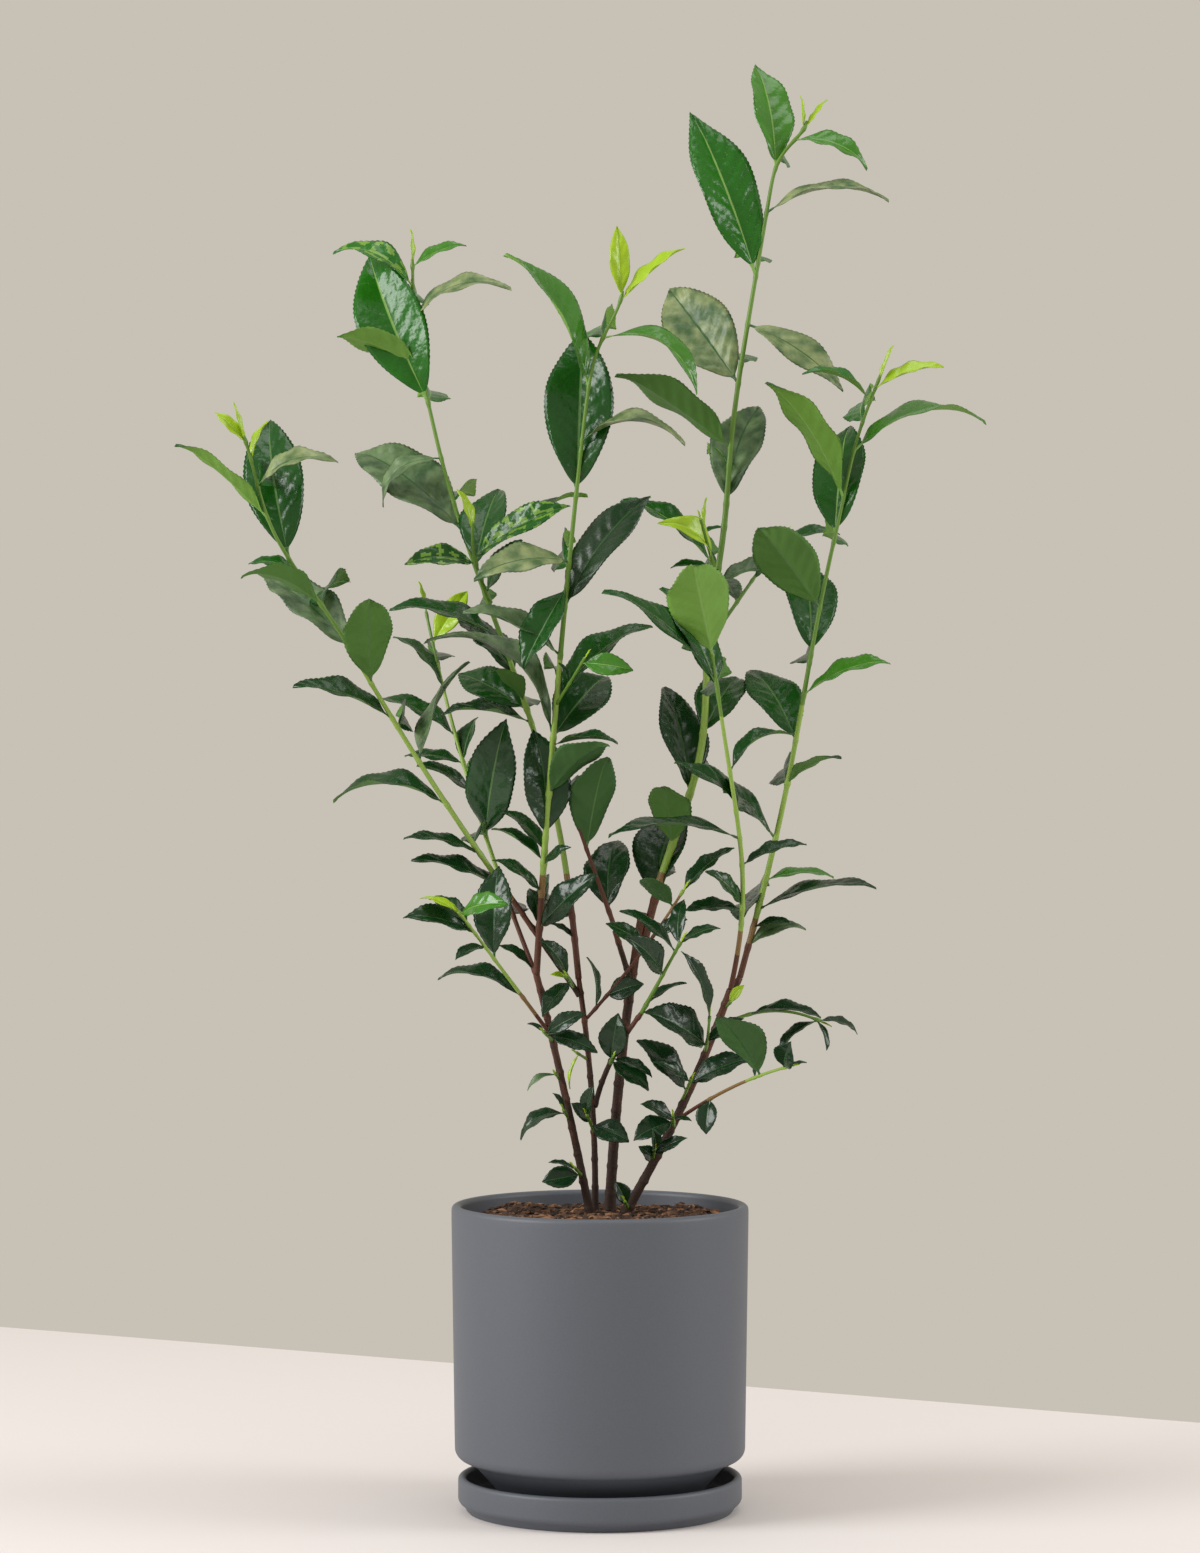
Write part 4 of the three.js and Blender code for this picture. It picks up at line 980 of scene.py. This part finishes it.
def soil_height(x, y):
    r = np.hypot(x, y)
    dome = SOIL_DOME - 4 * smooth_step(r, 34, 80)
    left_heap = 6 * bell(np.hypot(x + 52, y - 20), 22)
    right_heap = 6 * bell(np.hypot(x - 55, y - 15), 20)
    back_heap = 2 * bell(np.hypot(x - 5, y - 50), 26)
    heaps = left_heap + right_heap + back_heap
    lumps = np.sin(x * 0.31 + 2 * np.sin(y * 0.17)) * np.sin(y * 0.27 + 1.5 * np.sin(x * 0.2))
    fine = np.sin(x * 0.9 + y * 0.5) * np.sin(y * 1.1 - x * 0.3)
    share = smooth_step(r, 26, 46) * (1 - smooth_step(r, 78, 83))
    return dome + (heaps + lumps + fine * 0.5) * share


def add_crumbs(skin):
    corners = np.array([(1, 0, 0), (-0.6, 0.8, 0), (-0.6, -0.8, 0), (0, 0, 0.7), (0.1, 0.1, -0.6)])
    faces = np.array([(0, 1, 3), (1, 2, 3), (2, 0, 3), (1, 0, 4), (2, 1, 4), (0, 2, 4)])
    for k in range(CRUMBS):
        r, turn = CRUMB_REACH * math.sqrt(draw(3, k)), TAU * draw(4, k)
        size = 0.6 + 2.2 * draw(5, k) ** 3
        stretch = np.array([1 + 1.5 * draw(6, k), 1, 0.6 + 0.4 * draw(7, k)]) * size
        spin = TAU * draw(8, k)
        tilt = 1.2 * (draw(9, k) - 0.5)
        x, y, z = (corners * stretch).T
        y, z = y * math.cos(tilt) - z * math.sin(tilt), y * math.sin(tilt) + z * math.cos(tilt)
        x, y = x * math.cos(spin) - y * math.sin(spin), x * math.sin(spin) + y * math.cos(spin)
        px, py = r * math.cos(turn), r * math.sin(turn)
        centre = np.array([px, py, soil_height(px, py) + 0.25 * size])
        tone = int(draw(10, k) * len(SOIL_TONES))
        skin.add(np.stack([x, y, z], -1) + centre, faces, np.full(len(faces), tone))


def make_soil():
    skin = Skin()
    radii = np.concatenate([[SOIL_EDGE - 3, SOIL_EDGE], np.linspace(SOIL_EDGE, 0.5, SOIL_RINGS)])
    angle = np.arange(SOIL_TURNS) / SOIL_TURNS * TAU
    x, y = np.outer(radii, np.cos(angle)), np.outer(radii, np.sin(angle))
    z = soil_height(x, y)
    z[:2] = SOIL_SKIRT
    skin.add_rings(np.stack([x, y, z], -1), np.zeros((len(radii) - 1, SOIL_TURNS), int))
    add_crumbs(skin)
    piece = skin.piece("potting_mix", soil_materials, "soil", ["soil"])
    piece.data.polygons.foreach_set("use_smooth", np.zeros(len(piece.data.polygons), bool))


make_soil()

# ---------------------------------------------------------------- floor, light and camera
# The floor ends along a slanting edge behind the pot; plain studio air lies beyond it.
WALL_TONE = srgb(200, 193, 182)
EDGE_LEFT, EDGE_RIGHT = (-479, 826), (410, 335)
EDGE_BEYOND = 3  # the edge runs on past both points by this many times the way between them
FLOOR_FRONT = -6000
slant = (EDGE_RIGHT[0] - EDGE_LEFT[0], EDGE_RIGHT[1] - EDGE_LEFT[1])
far_left = (EDGE_LEFT[0] - EDGE_BEYOND * slant[0], EDGE_LEFT[1] - EDGE_BEYOND * slant[1])
far_right = (EDGE_RIGHT[0] + EDGE_BEYOND * slant[0], EDGE_RIGHT[1] + EDGE_BEYOND * slant[1])
floor_corners = (far_left, (far_left[0], FLOOR_FRONT), (far_right[0], FLOOR_FRONT), far_right)
floor_mesh = bpy.data.meshes.new("floor")
floor_mesh.from_pydata([(x * MM, y * MM, 0) for x, y in floor_corners], [], [(0, 1, 2, 3)])
floor_mesh.materials.append(plain("floor_paint", srgb(223, 218, 217), roughness=0.7))
floor = bpy.data.objects.new("floor", floor_mesh)
bpy.context.scene.collection.objects.link(floor)

world = bpy.data.worlds.new("studio_air")
bpy.context.scene.world = world
world.use_nodes = True
world.node_tree.nodes["Background"].inputs["Color"].default_value = (*WALL_TONE, 1)
world.node_tree.nodes["Background"].inputs["Strength"].default_value = 1.0
bpy.context.scene.view_settings.view_transform = "Standard"


def softbox(name, place, aim, size, power):
    """A round light; its place, its aim and its size are in metres."""
    light = bpy.data.lights.new(name, "AREA")
    light.shape = "DISK"
    light.size = size
    light.energy = power
    lamp = bpy.data.objects.new(name, light)
    lamp.location = place
    lamp.rotation_euler = (Vector(aim) - Vector(place)).to_track_quat("-Z", "Y").to_euler()
    bpy.context.scene.collection.objects.link(lamp)


softbox("softbox_left", (-2.3, -0.9, 1.6), (0, 0, 0.45), size=1.5, power=60)
softbox("softbox_right", (2.3, -0.4, 1.3), (0, 0, 0.45), size=1.2, power=25)
softbox("softbox_top", (0.2, -0.2, 2.6), (0, 0, 0.4), size=1.4, power=12)

CAMERA_DISTANCE, CAMERA_HEIGHT = 2.606, 0.459  # metres
CAMERA_TILT = 0.326  # degrees below level
CAMERA_LENS, CAMERA_SENSOR = 99.7, 36
camera = bpy.data.objects.new("camera", bpy.data.cameras.new("camera"))
camera.location = (0, -CAMERA_DISTANCE, CAMERA_HEIGHT)
camera.rotation_euler = (math.radians(90 - CAMERA_TILT), 0, 0)
camera.data.lens = CAMERA_LENS
camera.data.sensor_width = CAMERA_SENSOR
bpy.context.scene.collection.objects.link(camera)
bpy.context.scene.camera = camera
